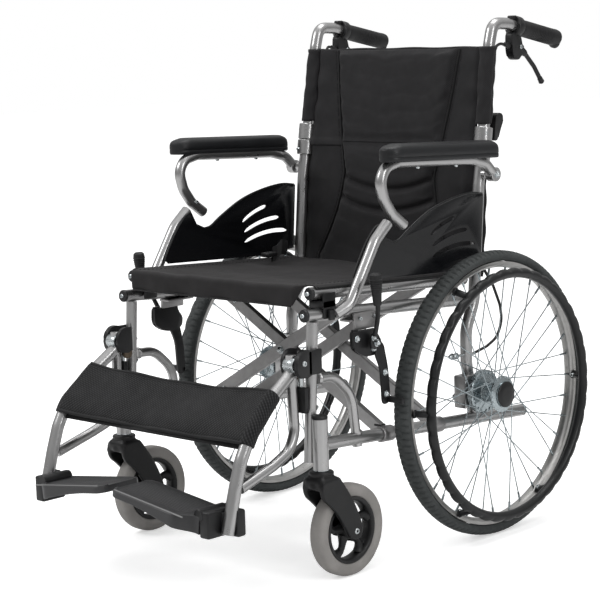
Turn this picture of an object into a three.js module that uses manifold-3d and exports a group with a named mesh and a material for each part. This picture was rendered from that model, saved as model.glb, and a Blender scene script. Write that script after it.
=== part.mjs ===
// Folding manual wheelchair: scissor-folding side frames with half-folding backrest,
// flip-back armrests and 20 inch drive wheels.
//
// Units are millimetres. +Z is up, the chair faces -Y and +X is the sitter's left.
// The origin is on the floor, under the middle of the chair's bounding box.
// Side parts are built once for the left side (side = 1) and mirrored by working out
// their points with side = -1.

import * as THREE from "three";
import { mergeVertices } from "three/addons/utils/BufferGeometryUtils.js";
import Module from "manifold-3d";

const wasm = await Module();
wasm.setup();

// ---- Driving dimensions ----------------------------------------------------------------

const axleY = 204.17; // rear axle's place along Y, measured from the origin
const axleZ = 260; // rear axle height
const frameX = 228; // half the distance between the side frames' tube planes
const caneX = 222; // half the distance between the back canes
const railTilt = THREE.MathUtils.degToRad(3.24); // side rails rise this much to the front
const tubeR = 11; // frame tube radius
const sleeveBoreR = 12.6; // bore of a sleeve that holds a frame tube, clear of its facets
const postR = 10; // front post radius
const archR = 8.5; // bumper arch's tube radius
const housingR = 13.5; // caster stem housing
const housingBottomZ = 194.5;
const housingTopZ = 282;
const frontRailY = -437; // front end of the upper rail, from the rear axle
const lowerRailRearY = 143; // rear end of the lower rail, where the anti-tip tube would go
const pivotSleeveR = 17; // outside of a sleeve that joins or turns on a frame tube
const pinR = 4; // pins and bolts that moving parts turn on
const armR = 10; // armrest tube radius
const gap = 0.35; // clearance between neighbouring solids

const wheelX = 274.6; // rear wheel centre plane
const tyreOuterR = 260;
const tyreInnerR = 240.5;
const tyreW = 34;
const rimInnerR = 228.8;
const rimW = 22;
const handrimR = 220.9;
const handrimX = 315.3;
const handrimTubeR = 9.6;
const spokeCount = 12; // every third spoke is modelled
const spokeW = 2.4;
const handrimStandoffs = 6;
const hubR = 17;
const hubFlangeR = 29;
const hubInnerX = 247;
const hubOuterX = 308.5;

const casterX = 251;
const stemY = -433; // caster stem, from the rear axle
const casterAxleY = -374.4;
const casterR = 80;
const casterW = 29;
const forkCheekX = 22;

const armrestX = 252; // armrest tube plane
const panelX = 237.5; // side panel's middle plane
const panelT = 2.8; // side panel's thickness
const padX = 264; // arm pad's middle plane
const gripX = 218; // push grip's middle plane

const braceBarW = 23; // width of a cross bar
const braceBarT = 11; // thickness of a cross bar, along the chair
const seatRailX = 223;
const seatRearY = -4; // rear edge of the seat sling
const seatFrontY = -432; // front edge of the seat sling
const seatRise = 17; // top of the sling above its rail's middle line
const seatT = 9; // sling and its padding
const backT = 12; // back sling and its padding

const hangerTopX = 222; // leg rest tubes leave the frame here and spread outwards
const hangerX = 233;
const hangerR = 9; // upright tube of the leg rest
const footPivotX = 205;
const footPivotZ = 147;
const footSlope = THREE.MathUtils.degToRad(7.4);
const footplateLength = 194; // from the hinge towards the middle of the chair
const footplateT = 12;

// ---- Materials --------------------------------------------------------------------------

function material(color, roughness, metalness) {
  return new THREE.MeshStandardMaterial({ color, roughness, metalness });
}

const paint = {
  silver: material(0xa4a5a6, 0.34, 0.75),
  brace: material(0x77787a, 0.42, 0.7),
  steel: material(0xb9bcbf, 0.25, 0.95),
  rim: material(0xb4b2ae, 0.35, 0.85),
  tyre: material(0x2c3333, 0.85, 0.0),
  casterTyre: material(0x85807b, 0.7, 0.0),
  plastic: material(0x17181a, 0.38, 0.0),
  rubber: material(0x141416, 0.6, 0.0),
  panel: material(0x101113, 0.22, 0.0),
  pad: material(0x1b1c1e, 0.45, 0.0),
  fabric: material(0x2f2e30, 0.85, 0.0),
  mesh: material(0x242426, 0.8, 0.0),
};

// ---- Geometry helpers -------------------------------------------------------------------

const object = new THREE.Group();

function point(x, y, z) {
  return new THREE.Vector3(x, y + axleY, z);
}

// A path of straight runs and sampled bends. Its stations are placed only where the
// path turns, so a straight run costs one step.
class BentPath extends THREE.Curve {
  constructor(stations) {
    super();
    this.stations = stations;
  }

  getUtoTmapping(u) {
    return u;
  }

  getPoint(t, target = new THREE.Vector3()) {
    const place = t * (this.stations.length - 1);
    const index = Math.min(Math.floor(place), this.stations.length - 2);
    return target.lerpVectors(this.stations[index], this.stations[index + 1], place - index);
  }

  getTangent(t, target = new THREE.Vector3()) {
    const last = this.stations.length - 1;
    const index = Math.round(t * last);
    const before = this.stations[Math.max(index - 1, 0)];
    const here = this.stations[index];
    const after = this.stations[Math.min(index + 1, last)];
    target.set(0, 0, 0);
    if (index > 0) target.add(here.clone().sub(before).normalize());
    if (index < last) target.add(after.clone().sub(here).normalize());
    return target.normalize();
  }
}

// Rounds each inner corner of a polyline with an arc of about the given bend radius.
function bends(points, radius, perBend = 4) {
  const stations = [points[0].clone()];
  for (let i = 1; i < points.length - 1; i += 1) {
    const corner = points[i];
    const toStart = points[i - 1].clone().sub(corner);
    const toEnd = points[i + 1].clone().sub(corner);
    const angle = toStart.angleTo(toEnd);
    const wanted = radius / Math.tan(angle / 2);
    const reach = Math.min(wanted, toStart.length() * 0.48, toEnd.length() * 0.48);
    const start = corner.clone().addScaledVector(toStart.normalize(), reach);
    const end = corner.clone().addScaledVector(toEnd.normalize(), reach);
    const curve = new THREE.QuadraticBezierCurve3(start, corner, end);
    stations.push(...curve.getPoints(perBend));
  }
  stations.push(points[points.length - 1].clone());
  return stations;
}

// A closed ring of points for a tube's cross-section.
function roundSection(radius, sides) {
  const shape = new THREE.Shape();
  for (let i = 0; i < sides; i += 1) {
    const angle = ((i + 0.5) / sides) * 2 * Math.PI;
    const x = radius * Math.cos(angle);
    const y = radius * Math.sin(angle);
    if (i === 0) shape.moveTo(x, y);
    else shape.lineTo(x, y);
  }
  shape.closePath();
  return shape;
}

function tube(points, radius, options = {}) {
  const { sides = 8, bend = 50, perBend = 4, section = roundSection(radius, sides) } = options;
  const stations = points.length > 2 ? bends(points, bend, perBend) : points;
  return new THREE.ExtrudeGeometry(section, {
    steps: stations.length - 1,
    extrudePath: new BentPath(stations),
  });
}

function box(x0, x1, y0, y1, z0, z1) {
  const geometry = new THREE.BoxGeometry(Math.abs(x1 - x0), Math.abs(y1 - y0), Math.abs(z1 - z0));
  geometry.translate((x0 + x1) / 2, (y0 + y1) / 2 + axleY, (z0 + z1) / 2);
  return geometry;
}

// A round bar between two points.
function rod(from, to, radius, sides = 10) {
  return tube([from, to], radius, { sides });
}

// A flat plate in the YZ plane: outline points are (y, z) pairs, from the rear axle.
function plate(outline, x0, x1, holes = []) {
  const shape = new THREE.Shape(outline.map(([y, z]) => new THREE.Vector2(y + axleY, z)));
  for (const hole of holes) {
    shape.holes.push(new THREE.Path(hole.map(([y, z]) => new THREE.Vector2(y + axleY, z))));
  }
  const depth = Math.abs(x1 - x0);
  const geometry = new THREE.ExtrudeGeometry(shape, { depth, bevelEnabled: false, curveSegments: 4 });
  // Local x, y, z become world y, z, x.
  geometry.applyMatrix4(new THREE.Matrix4().set(0, 0, 1, 0, 1, 0, 0, 0, 0, 1, 0, 0, 0, 0, 0, 1));
  geometry.translate(Math.min(x0, x1), 0, 0);
  return geometry;
}

// A solid of revolution about a line along X. The profile is a list of (radius, x).
function wheelSolid(profile, y, z, segments) {
  const points = profile.map(([radius, x]) => new THREE.Vector2(radius, x));
  const geometry = new THREE.LatheGeometry(points, segments);
  geometry.rotateZ(-Math.PI / 2);
  geometry.translate(0, y + axleY, z);
  return geometry;
}

function solid(geometry) {
  const bare = geometry.index ? geometry.toNonIndexed() : geometry.clone();
  bare.deleteAttribute("normal");
  bare.deleteAttribute("uv");
  const merged = mergeVertices(bare, 1e-4);
  const made = new wasm.Manifold(
    new wasm.Mesh({
      numProp: 3,
      vertProperties: new Float32Array(merged.attributes.position.array),
      triVerts: new Uint32Array(merged.index.array),
    }),
  );
  return made.volume() < 0 ? turned(merged) : made;
}

// The same solid with its faces turned the other way round.
function turned(merged) {
  const index = Uint32Array.from(merged.index.array);
  for (let i = 0; i < index.length; i += 3) {
    [index[i + 1], index[i + 2]] = [index[i + 2], index[i + 1]];
  }
  return new wasm.Manifold(
    new wasm.Mesh({
      numProp: 3,
      vertProperties: new Float32Array(merged.attributes.position.array),
      triVerts: index,
    }),
  );
}

function join(...geometries) {
  return geometries.map(solid).reduce((whole, piece) => whole.add(piece));
}

function shapeOf(manifold) {
  const mesh = manifold.getMesh();
  const geometry = new THREE.BufferGeometry();
  geometry.setAttribute("position", new THREE.BufferAttribute(new Float32Array(mesh.vertProperties), 3));
  geometry.setIndex(new THREE.BufferAttribute(new Uint32Array(mesh.triVerts), 1));
  geometry.computeVertexNormals();
  return geometry;
}

function add(name, shape, finish, parent = object) {
  const geometry = shape instanceof THREE.BufferGeometry ? shape : shapeOf(shape);
  const mesh = new THREE.Mesh(geometry, finish);
  mesh.name = name;
  parent.add(mesh);
  return mesh;
}

// Heights of the sloping rails at a distance y from the rear axle.
const railSlope = Math.tan(railTilt);
const lowerRailZ = (y) => 207.1 - railSlope * y;
const upperRailZ = (y) => 429 - railSlope * y;
const seatRailZ = (y) => 467 - railSlope * (y * 0.9);

// ---- Side frames ------------------------------------------------------------------------

const postTopY = -420;
const postBottomY = -436;

function frontPost(side) {
  const x = side * frameX;
  const top = upperRailZ(postTopY) - tubeR - gap;
  const post = rod(point(x, postBottomY, 205), point(x, postTopY, top), postR);
  const housing = rod(
    point(side * casterX, stemY, housingBottomZ),
    point(side * casterX, stemY, housingTopZ),
    housingR,
    12,
  );
  const webs = [206, 246].map((z) => box(x, side * casterX, stemY - 4, stemY + 4, z, z + 26));
  return join(post, housing, ...webs);
}

function upperRail(side) {
  const x = side * frameX;
  const rail = rod(
    point(x, frontRailY, upperRailZ(frontRailY)),
    point(x, -1, upperRailZ(-1)),
    tubeR,
  );
  const support = tube(
    [
      point(side * (frameX + 15), -376, upperRailZ(-376)),
      point(side * armrestX, -352, 464),
      point(side * armrestX, -338, 484),
      point(side * armrestX, -285, 565),
      point(side * armrestX, -251, 593),
    ],
    armR,
    { bend: 60, perBend: 3 },
  );
  return join(rail, support);
}

function lowerRail(side) {
  const x = side * frameX;
  const front = postBottomY + 26;
  const rail = rod(
    point(x, front, lowerRailZ(front)),
    point(x, lowerRailRearY, lowerRailZ(lowerRailRearY)),
    tubeR,
  );
  const arch = tube(
    [
      point(x, -411, 344),
      point(x, -372, 343),
      point(x, -328, 304),
      point(x, -317, 216),
    ],
    archR,
    { sides: 8, bend: 60, perBend: 3 },
  );
  const keeper = rod(
    point(x, front, lowerRailZ(front)),
    point(x, postBottomY + 13.4, lowerRailZ(postBottomY)),
    7,
    8,
  );
  return join(rail, arch, keeper);
}

const foldY = 68; // hinge line of the folding backrest
const foldZ = 707;
const armPivot = [41, 654]; // armrest's turning pin, (y, z)

function rearPost(side) {
  const x = side * caneX;
  const start = lowerRailZ(8) + tubeR + 2;
  const post = tube(
    [
      point(x, 8, start + 1),
      point(x, -9, 310),
      point(x, -9, 372),
      point(x, 16, 424),
      point(x, 36, 634),
      point(x, 47, 690),
    ],
    tubeR,
    { bend: 70, perBend: 3 },
  );
  const sleeve = rod(point(x, 44, 678), point(x, 49, foldZ - 0.5), pivotSleeveR, 12);
  const axlePlate = box(side * 216, side * 243, -40, -6, 232, 292);
  const [armY, armZ] = armPivot;
  const armPin = rod(point(x, armY, armZ), point(side * (armrestX + 10), armY, armZ), pinR, 10);
  const armBoss = rod(point(x, armY, armZ), point(side * (armrestX - 12.6), armY, armZ), 9, 10);
  return join(post, sleeve, axlePlate, armPin, armBoss);
}

// Curved vents cut through the side panel, as (y, z) arcs.
function vent(y0, z0, y1, z1, rise) {
  const half = 4;
  const steps = 5;
  const upper = [];
  const lower = [];
  for (let i = 0; i <= steps; i += 1) {
    const t = i / steps;
    const y = y0 + (y1 - y0) * t;
    const z = z0 + (z1 - z0) * t + rise * 4 * t * (1 - t);
    upper.push([y, z + half * Math.sin(Math.PI * (0.12 + 0.76 * t))]);
    lower.unshift([y, z - half * Math.sin(Math.PI * (0.12 + 0.76 * t))]);
  }
  return [...upper, ...lower];
}

function sidePanel(side) {
  const outline = [
    [28, 619],
    [-11, 623],
    [-68, 616],
    [-124, 601],
    [-178, 575],
    [-205, 559],
    [-223, 556],
    [-243, 565],
    [-256, 589],
    [-270, 583],
    [-293, 559],
    [-318, 521],
    [-325, 506],
    [-318, 499],
    [-72, 488],
    [18, 494],
  ];
  const vents = [
    vent(-55, 584, -122, 559, 4),
    vent(-20, 559, -118, 539, 6),
    vent(1, 531, -118, 519, 8),
  ];
  return plate(outline, side * (panelX - panelT / 2), side * (panelX + panelT / 2), vents);
}

// ---- Rear wheels ------------------------------------------------------------------------

function tyre(side) {
  const x = side * wheelX;
  const half = tyreW / 2;
  const profile = [
    [tyreInnerR, x - 9],
    [tyreInnerR + 4, x - half + 2],
    [tyreOuterR - 9, x - half],
    [tyreOuterR - 2, x - 10],
    [tyreOuterR, x],
    [tyreOuterR - 2, x + 10],
    [tyreOuterR - 9, x + half],
    [tyreInnerR + 4, x + half - 2],
    [tyreInnerR, x + 9],
    [tyreInnerR, x - 9],
  ];
  return solid(wheelSolid(profile, 0, axleZ, 36));
}

function rim(side) {
  const x = side * wheelX;
  const half = rimW / 2;
  const outer = tyreInnerR - gap - 0.4;
  const profile = [
    [rimInnerR, x - half + 4],
    [outer, x - half],
    [outer, x + half],
    [rimInnerR, x + half - 4],
    [rimInnerR, x - half + 4],
  ];
  return solid(wheelSolid(profile, 0, axleZ, 36));
}

function hubAndSpokes(side) {
  const inner = side * hubInnerX;
  const outer = side * hubOuterX;
  const flangeIn = side * 255;
  const flangeOut = side * 298;
  const profile = [
    [0, inner],
    [hubFlangeR + 6, inner],
    [hubFlangeR + 6, flangeIn + side * 4],
    [hubR, flangeIn + side * 8],
    [hubR, flangeOut - side * 4],
    [hubFlangeR, flangeOut - side * 3],
    [hubFlangeR, flangeOut + side * 3],
    [21, outer],
    [0, outer],
  ];
  const pieces = [wheelSolid(profile, 0, axleZ, 12)];
  const reach = rimInnerR - 1.4;
  for (let i = 0; i < spokeCount; i += 1) {
    const rimAngle = (i / spokeCount) * 2 * Math.PI;
    const outerSide = i % 2 === 0;
    const lead = (i % 4 < 2 ? 1 : -1) * THREE.MathUtils.degToRad(48);
    const hubAngle = rimAngle + lead;
    const hubX = outerSide ? flangeOut : flangeIn + side * 2;
    const holeR = hubFlangeR - 5;
    const from = point(hubX, holeR * Math.cos(hubAngle), axleZ + holeR * Math.sin(hubAngle));
    const endX = side * wheelX + (outerSide ? side * 3 : -side * 3);
    const to = point(endX, reach * Math.cos(rimAngle), axleZ + reach * Math.sin(rimAngle));
    pieces.push(tube([from, to], spokeW / 2, { sides: 4 }));
  }
  return join(...pieces);
}

function handrim(side) {
  const ring = [];
  const sides = 6;
  for (let i = 0; i <= sides; i += 1) {
    const angle = ((i + 0.5) / sides) * 2 * Math.PI;
    ring.push([
      handrimR + handrimTubeR * Math.cos(angle),
      side * handrimX + handrimTubeR * Math.sin(angle),
    ]);
  }
  const pieces = [wheelSolid(ring, 0, axleZ, 36)];
  for (let i = 0; i < handrimStandoffs; i += 1) {
    const angle = (i / handrimStandoffs) * 2 * Math.PI;
    const at = (x, radius) => {
      return point(side * x, radius * Math.cos(angle), axleZ + radius * Math.sin(angle));
    };
    const foot = at(wheelX + rimW / 2 + 1, rimInnerR + 4);
    pieces.push(tube([foot, at(handrimX - 3, handrimR + 1)], 6, { sides: 4 }));
  }
  return join(...pieces);
}

// ---- Casters ----------------------------------------------------------------------------

function casterFork(side) {
  const x = side * casterX;
  const crown = rod(point(x, stemY, 172), point(x, stemY, 193.6), 20, 12);
  const cheeks = [-1, 1].map((flank) => {
    const inner = x + flank * (casterW / 2 + 1.5);
    const outer = x + flank * forkCheekX;
    const outline = [
      [stemY - 20, 192],
      [stemY + 22, 192],
      [stemY + 40, 152],
      [casterAxleY + 14, 92],
      [casterAxleY + 11, 70],
      [casterAxleY - 9, 70],
      [casterAxleY - 22, 100],
      [stemY - 2, 136],
      [stemY - 22, 160],
    ];
    return plate(outline, inner, outer);
  });
  const bridge = box(x - forkCheekX, x + forkCheekX, stemY - 18, stemY + 14, 170.5, 190);
  const bolt = rod(
    point(x - forkCheekX - 3, casterAxleY, casterR),
    point(x + forkCheekX + 3, casterAxleY, casterR),
    pinR,
    8,
  );
  return join(crown, ...cheeks, bridge, bolt);
}

function casterTyre(side) {
  const x = side * casterX;
  const half = casterW / 2;
  const profile = [
    [58, x - half + 1],
    [casterR - 8, x - half],
    [casterR, x - 7],
    [casterR, x + 7],
    [casterR - 8, x + half],
    [58, x + half - 1],
    [58, x - half + 1],
  ];
  return solid(wheelSolid(profile, casterAxleY, casterR, 28));
}

function casterHub(side) {
  const x = side * casterX;
  const half = 9;
  const profile = [
    [4.6, x - 13.5],
    [15, x - 13.5],
    [17, x - 4],
    [46, x - 4],
    [50, x - half],
    [57.4, x - half],
    [57.4, x + half],
    [50, x + half],
    [46, x + 4],
    [17, x + 4],
    [15, x + 13.5],
    [4.6, x + 13.5],
    [4.6, x - 13.5],
  ];
  return solid(wheelSolid(profile, casterAxleY, casterR, 20));
}

// ---- Parking brakes ---------------------------------------------------------------------

const brakeLeverPivot = [-307, 394]; // handle pivot, (y, z)
const brakeArmPivot = [-292, 381]; // shoe arm pivot
const brakeGripX = 298;
const shoeY = -265; // the shoe bar just touches the tyre's tread

function brakeBracket(side) {
  const clamp = box(side * (frameX + tubeR + gap + 0.4), side * 247, -340, -276, 400, 446);
  const body = box(side * 246, side * 256, -350, -288, 388, 440);
  const lug = box(side * 246, side * 256, -322, -280, 372, 396);
  return join(clamp, body, lug);
}

function brakeLever(side) {
  const [y, z] = brakeLeverPivot;
  const foot = box(side * 266, side * 274, y - 14, y + 10, z - 10, z + 14);
  const shank = tube(
    [
      point(side * 270, y - 2, z + 4),
      point(side * 284, y - 11, z + 40),
      point(side * 296, y - 23, z + 68),
      point(side * brakeGripX, y - 28, z + 84),
    ],
    4.5,
    { sides: 8, bend: 30, perBend: 2 },
  );
  const grip = rod(
    point(side * brakeGripX, y - 27, z + 72),
    point(side * brakeGripX, y - 30, z + 125),
    10.5,
    10,
  );
  return join(foot, shank, grip);
}

function brakeArm(side) {
  const [y, z] = brakeArmPivot;
  const arm = plate(
    [
      [y - 9, z + 10],
      [y + 9, z + 10],
      [-273, 345],
      [-270, 285],
      [-284, 283],
      [-287, 345],
    ],
    side * 257,
    side * 265,
  );
  const bar = rod(point(side * 258, shoeY, 291), point(side * 296, shoeY, 291), 6, 8);
  const foot = box(side * 257, side * 265, shoeY - 17, shoeY + 3, 284, 298);
  return join(arm, bar, foot);
}

// ---- Armrests ---------------------------------------------------------------------------

function armrestTube(side) {
  const x = side * armrestX;
  const [y, z] = armPivot;
  const bow = tube(
    [
      point(x, -209, 585),
      point(x, -239, 606),
      point(x, -259, 633),
      point(x, -268, 665),
      point(x, -254, 688),
      point(x, -222, 695),
      point(x, -22, 686),
      point(x, 18, 676),
      point(x, y, z),
    ],
    armR,
    { bend: 34, perBend: 3 },
  );
  const eye = rod(point(side * (armrestX - 9), y, z), point(side * (armrestX + 9), y, z), 13, 12);
  const bore = rod(point(side * (armrestX - 14), y, z), point(side * (armrestX + 14), y, z), 4.4, 10);
  return join(bow, eye).subtract(solid(bore));
}

function armPad(side) {
  const x = side * padX;
  const half = 23;
  const outline = new THREE.Shape();
  outline.moveTo(x - half, -234);
  outline.quadraticCurveTo(x - half + 4, -270, x, -271);
  outline.quadraticCurveTo(x + half - 4, -270, x + half, -234);
  outline.lineTo(x + half, 8);
  outline.quadraticCurveTo(x + half - 2, 24, x, 26);
  outline.quadraticCurveTo(x - half + 2, 24, x - half, 8);
  const geometry = new THREE.ExtrudeGeometry(outline, {
    depth: 17,
    steps: 1,
    bevelThickness: 5,
    bevelSize: -4,
    bevelOffset: 0,
    bevelSegments: 1,
    curveSegments: 4,
  });
  geometry.rotateX(-THREE.MathUtils.degToRad(2.3));
  geometry.translate(0, axleY, 704.2);
  return geometry;
}

// ---- Backrest canes, grips and attendant brakes -----------------------------------------

function upperCane(side) {
  const x = side * gripX;
  const cane = tube(
    [
      point(side * caneX, 51, foldZ + 2),
      point(x, 79, 888),
      point(x, 90, 925),
      point(x, 130, 923.5),
      point(x, 279, 893),
    ],
    tubeR,
    { bend: 38, perBend: 4 },
  );
  const root = side * caneX;
  const collar = rod(point(root, 49.5, foldZ + 0.6), point(root, 54.5, 738), pivotSleeveR, 12);
  return join(cane, collar);
}

// The grip and its lever clamp are sleeves round the end of the cane.
function grip(side) {
  const x = side * gripX;
  const start = point(x, 163, 916.7);
  const end = point(x, 282, 892.4);
  const along = end.clone().sub(start).normalize();
  const after = (place, distance) => place.clone().addScaledVector(along, distance);
  const bore = rod(after(start, -30), after(end, -2), sleeveBoreR, 10);
  const body = rod(start, end, 15, 12);
  const lip = rod(after(end, -16), end.clone().add(new THREE.Vector3(0, 0, -4)), 16.5, 12);
  const clamp = rod(after(start, -14), after(start, 6), 18.5, 12);
  const perch = box(x - 8, x + 8, 138, 160, 866, 908);
  return join(body, lip, clamp, perch).subtract(solid(bore));
}

const leverPivot = [166, 878];

function brakeHandLever(side) {
  const x = side * gripX;
  const [y, z] = leverPivot;
  return tube(
    [point(x, y - 3, z + 4), point(x, y + 22, z - 12), point(x, y + 50, z - 40), point(x, 235, 812)],
    5,
    { sides: 6, bend: 30, perBend: 2 },
  );
}

function backLatch(side) {
  const x = side * caneX;
  return plate(
    [
      [foldY + 6, 712],
      [foldY + 16, 712],
      [foldY + 34, 752],
      [foldY + 30, 762],
      [foldY + 18, 762],
      [foldY + 10, 752],
    ],
    x - 9,
    x + 9,
  );
}

// ---- Leg rests --------------------------------------------------------------------------

function hanger(side) {
  const x = side * hangerX;
  const top = side * hangerTopX;
  const upright = tube(
    [
      point(top, -468, 392),
      point(top, -468, 340),
      point(side * 224, -466, 262),
      point(side * 226, -482, 232),
      point(side * 231, -527, 215),
      point(x, -606, 192),
    ],
    hangerR,
    { bend: 45, perBend: 2 },
  );
  const shin = tube(
    [
      point(top, -462, 366),
      point(side * 226, -520, 328),
      point(x, -579, 278),
      point(x, -602, 238),
      point(x, -617, 195),
      point(x, -638, 122),
    ],
    tubeR,
    { bend: 70, perBend: 2 },
  );
  return join(upright, shin);
}

function hangerBracket(side) {
  const x = side * 240;
  const innerCheek = box(side * 235, side * 246, -470, -441, 356, 398);
  const outerCheek = box(side * 238.8, side * 246, -474, -418, 356, 398);
  const block = box(side * 234, side * 246, -457, -441, 292, 336);
  const pin = rod(point(x, -449, 330), point(x, -449, 362), pinR, 8);
  return join(innerCheek, outerCheek, block, pin);
}

function hangerFoot(side) {
  const x = side * hangerX;
  const block = box(side * 217.6, side * 248.4, -662, -608, 114, 164);
  const socket = rod(point(x, -610, 219.3), point(x, -638.2, 121.3), sleeveBoreR);
  return solid(block).subtract(solid(socket));
}

function footplate(side) {
  const length = footplateLength;
  const tongue = 34; // reaches out to the clamp on the leg rest
  const front = -52;
  const rear = 42;
  const shape = new THREE.Shape();
  shape.moveTo(tongue, front + 6);
  shape.lineTo(tongue - 8, front);
  shape.lineTo(14 - length, front);
  shape.lineTo(-length, front + 12);
  shape.lineTo(-length, rear - 10);
  shape.lineTo(10 - length, rear);
  shape.lineTo(0, rear);
  shape.lineTo(0, front + 31);
  shape.lineTo(tongue, front + 31);
  const plateSolid = new THREE.ExtrudeGeometry(shape, { depth: footplateT, bevelEnabled: false });
  plateSolid.translate(0, 0, -footplateT / 2);
  const barrel = new THREE.CylinderGeometry(11.6, 11.6, 60, 12);
  const geometry = shapeOf(join(plateSolid, barrel));
  geometry.rotateY(footSlope);
  geometry.translate(footPivotX, -645 + axleY, footPivotZ);
  return side < 0 ? mirrored(geometry) : geometry;
}

// Mirrors a geometry across the chair's middle plane, keeping its faces outward.
function mirrored(geometry) {
  const copy = geometry.clone();
  copy.scale(-1, 1, 1);
  const index = copy.index.array;
  for (let i = 0; i < index.length; i += 3) {
    [index[i + 1], index[i + 2]] = [index[i + 2], index[i + 1]];
  }
  return copy;
}

// ---- Cross braces -----------------------------------------------------------------------

// One brace: two parallel cross bars, the seat rail they carry and the sleeve that turns
// on the lower rail of the opposite side frame. top is the side the seat rail is on.
function brace(top, barYs) {
  const low = -top * frameX;
  const pieces = [];
  const railFront = -417;
  const railRear = -18;
  pieces.push(
    rod(
      point(top * seatRailX, railFront, seatRailZ(railFront)),
      point(top * seatRailX, railRear, seatRailZ(railRear)),
      tubeR,
    ),
  );
  for (const y of barYs) {
    const bottom = point(low, y, lowerRailZ(y));
    const upper = point(top * seatRailX, y, seatRailZ(y));
    const direction = upper.clone().sub(bottom).normalize();
    const start = bottom.clone().addScaledVector(direction, 16);
    pieces.push(bar(start, upper, braceBarW, braceBarT));
  }
  const whole = join(...pieces);
  const sleeves = barYs.map((y) => lowerSleeve(low, y));
  return sleeves.reduce((sum, sleeve) => sum.add(sleeve), whole);
}

// A rectangular bar between two points, its narrow side along the chair.
function bar(start, end, width, thickness) {
  const along = end.clone().sub(start);
  const geometry = new THREE.BoxGeometry(along.length(), thickness, width);
  const middle = start.clone().add(end).multiplyScalar(0.5);
  const xAxis = along.clone().normalize();
  const yAxis = new THREE.Vector3(0, 1, 0);
  yAxis.addScaledVector(xAxis, -yAxis.dot(xAxis)).normalize();
  const zAxis = new THREE.Vector3().crossVectors(xAxis, yAxis);
  const place = new THREE.Matrix4().makeBasis(xAxis, yAxis, zAxis).setPosition(middle);
  geometry.applyMatrix4(place);
  return geometry;
}

// A short sleeve that turns round the lower rail.
function lowerSleeve(x, y) {
  const half = 22;
  const outer = rod(
    point(x, y - half, lowerRailZ(y - half)),
    point(x, y + half, lowerRailZ(y + half)),
    pivotSleeveR,
    12,
  );
  const bore = rod(
    point(x, y - half - 5, lowerRailZ(y - half - 5)),
    point(x, y + half + 5, lowerRailZ(y + half + 5)),
    tubeR + 1.2,
    12,
  );
  return solid(outer).subtract(solid(bore));
}

// ---- Upholstery -------------------------------------------------------------------------

function seatHalf(side) {
  const top = (y) => seatRailZ(y) + seatRise;
  const outline = [
    [seatFrontY, top(seatFrontY) - 4],
    [seatFrontY + 12, top(seatFrontY + 12)],
    [seatRearY, top(seatRearY)],
    [seatRearY, top(seatRearY) - seatT],
    [seatFrontY + 18, top(seatFrontY + 18) - seatT],
    [seatFrontY + 6, top(seatFrontY + 6) - seatT - 3],
  ];
  return plate(outline, side * 0.4, side * 206);
}

// A part of the back sling between two heights, following the canes' lean. bow moves it back.
function backPanel(z0, z1, bow) {
  const caneY = (z) => (z < 634 ? 16 + ((z - 424) * 20) / 210 : 36 + (z - 634) * 0.165);
  const front = bow - 7;
  const rear = front + backT;
  const outline = [
    [caneY(z0) + front, z0],
    [caneY(z1) + front, z1],
    [caneY(z1) + rear, z1],
    [caneY(z0) + rear, z0],
  ];
  const half = caneX - 18.5;
  return plate(outline, -half, half);
}

function calfStrap() {
  const outline = [
    [-488, 352],
    [-482, 345],
    [-512, 322],
    [-556, 262],
    [-564, 268],
    [-522, 330],
  ];
  const half = hangerTopX - 12;
  return plate(outline, -half, half);
}

// ---- Brake cables -----------------------------------------------------------------------

function brakeCable(side) {
  const inner = side * (caneX - 14);
  const loop = side * 224;
  return tube(
    [
      point(side * gripX, 136, 880),
      point(side * (gripX - 2), 112, 890),
      point(inner, 98, 872),
      point(inner, 72, 730),
      point(inner, 60, 620),
      point(inner, 52, 490),
      point(loop, 70, 446),
      point(loop, 90, 406),
      point(loop, 95, 377),
      point(loop, 80, 347),
      point(loop, 49, 334),
      point(loop, 8, 326),
    ],
    3,
    { sides: 6, bend: 40, perBend: 2 },
  );
}

// ---- Assembly ---------------------------------------------------------------------------

const sides = [
  ["left", 1],
  ["right", -1],
];

for (const [label, side] of sides) {
  add(`${label}_front_post`, frontPost(side), paint.silver);
  add(`${label}_upper_rail`, upperRail(side), paint.silver);
  add(`${label}_lower_rail`, lowerRail(side), paint.silver);
  add(`${label}_rear_post`, rearPost(side), paint.silver);
  add(`${label}_side_panel`, sidePanel(side), paint.panel);
  add(`${label}_drive_tyre`, tyre(side), paint.tyre);
  add(`${label}_drive_rim`, rim(side), paint.rim);
  add(`${label}_hub_and_spokes`, hubAndSpokes(side), paint.steel);
  add(`${label}_handrim`, handrim(side), paint.plastic);
  add(`${label}_caster_fork`, casterFork(side), paint.plastic);
  add(`${label}_caster_tyre`, casterTyre(side), paint.casterTyre);
  add(`${label}_caster_hub`, casterHub(side), paint.plastic);
  add(`${label}_parking_brake_bracket`, brakeBracket(side), paint.plastic);
  add(`${label}_parking_brake_lever`, brakeLever(side), paint.plastic);
  add(`${label}_parking_brake_shoe`, brakeArm(side), paint.plastic);
  add(`${label}_armrest_tube`, armrestTube(side), paint.silver);
  add(`${label}_arm_pad`, armPad(side), paint.pad);
  add(`${label}_back_cane`, upperCane(side), paint.silver);
  add(`${label}_push_grip`, grip(side), paint.rubber);
  add(`${label}_attendant_brake_lever`, brakeHandLever(side), paint.plastic);
  add(`${label}_back_latch`, backLatch(side), paint.plastic);
  add(`${label}_leg_hanger`, hanger(side), paint.silver);
  add(`${label}_hanger_bracket`, hangerBracket(side), paint.plastic);
  add(`${label}_hanger_foot`, hangerFoot(side), paint.plastic);
  add(`${label}_footplate`, footplate(side), paint.plastic);
  add(`${label}_seat_panel`, seatHalf(side), paint.fabric);
  add(`${label}_brake_cable`, brakeCable(side), paint.rubber);
}

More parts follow.
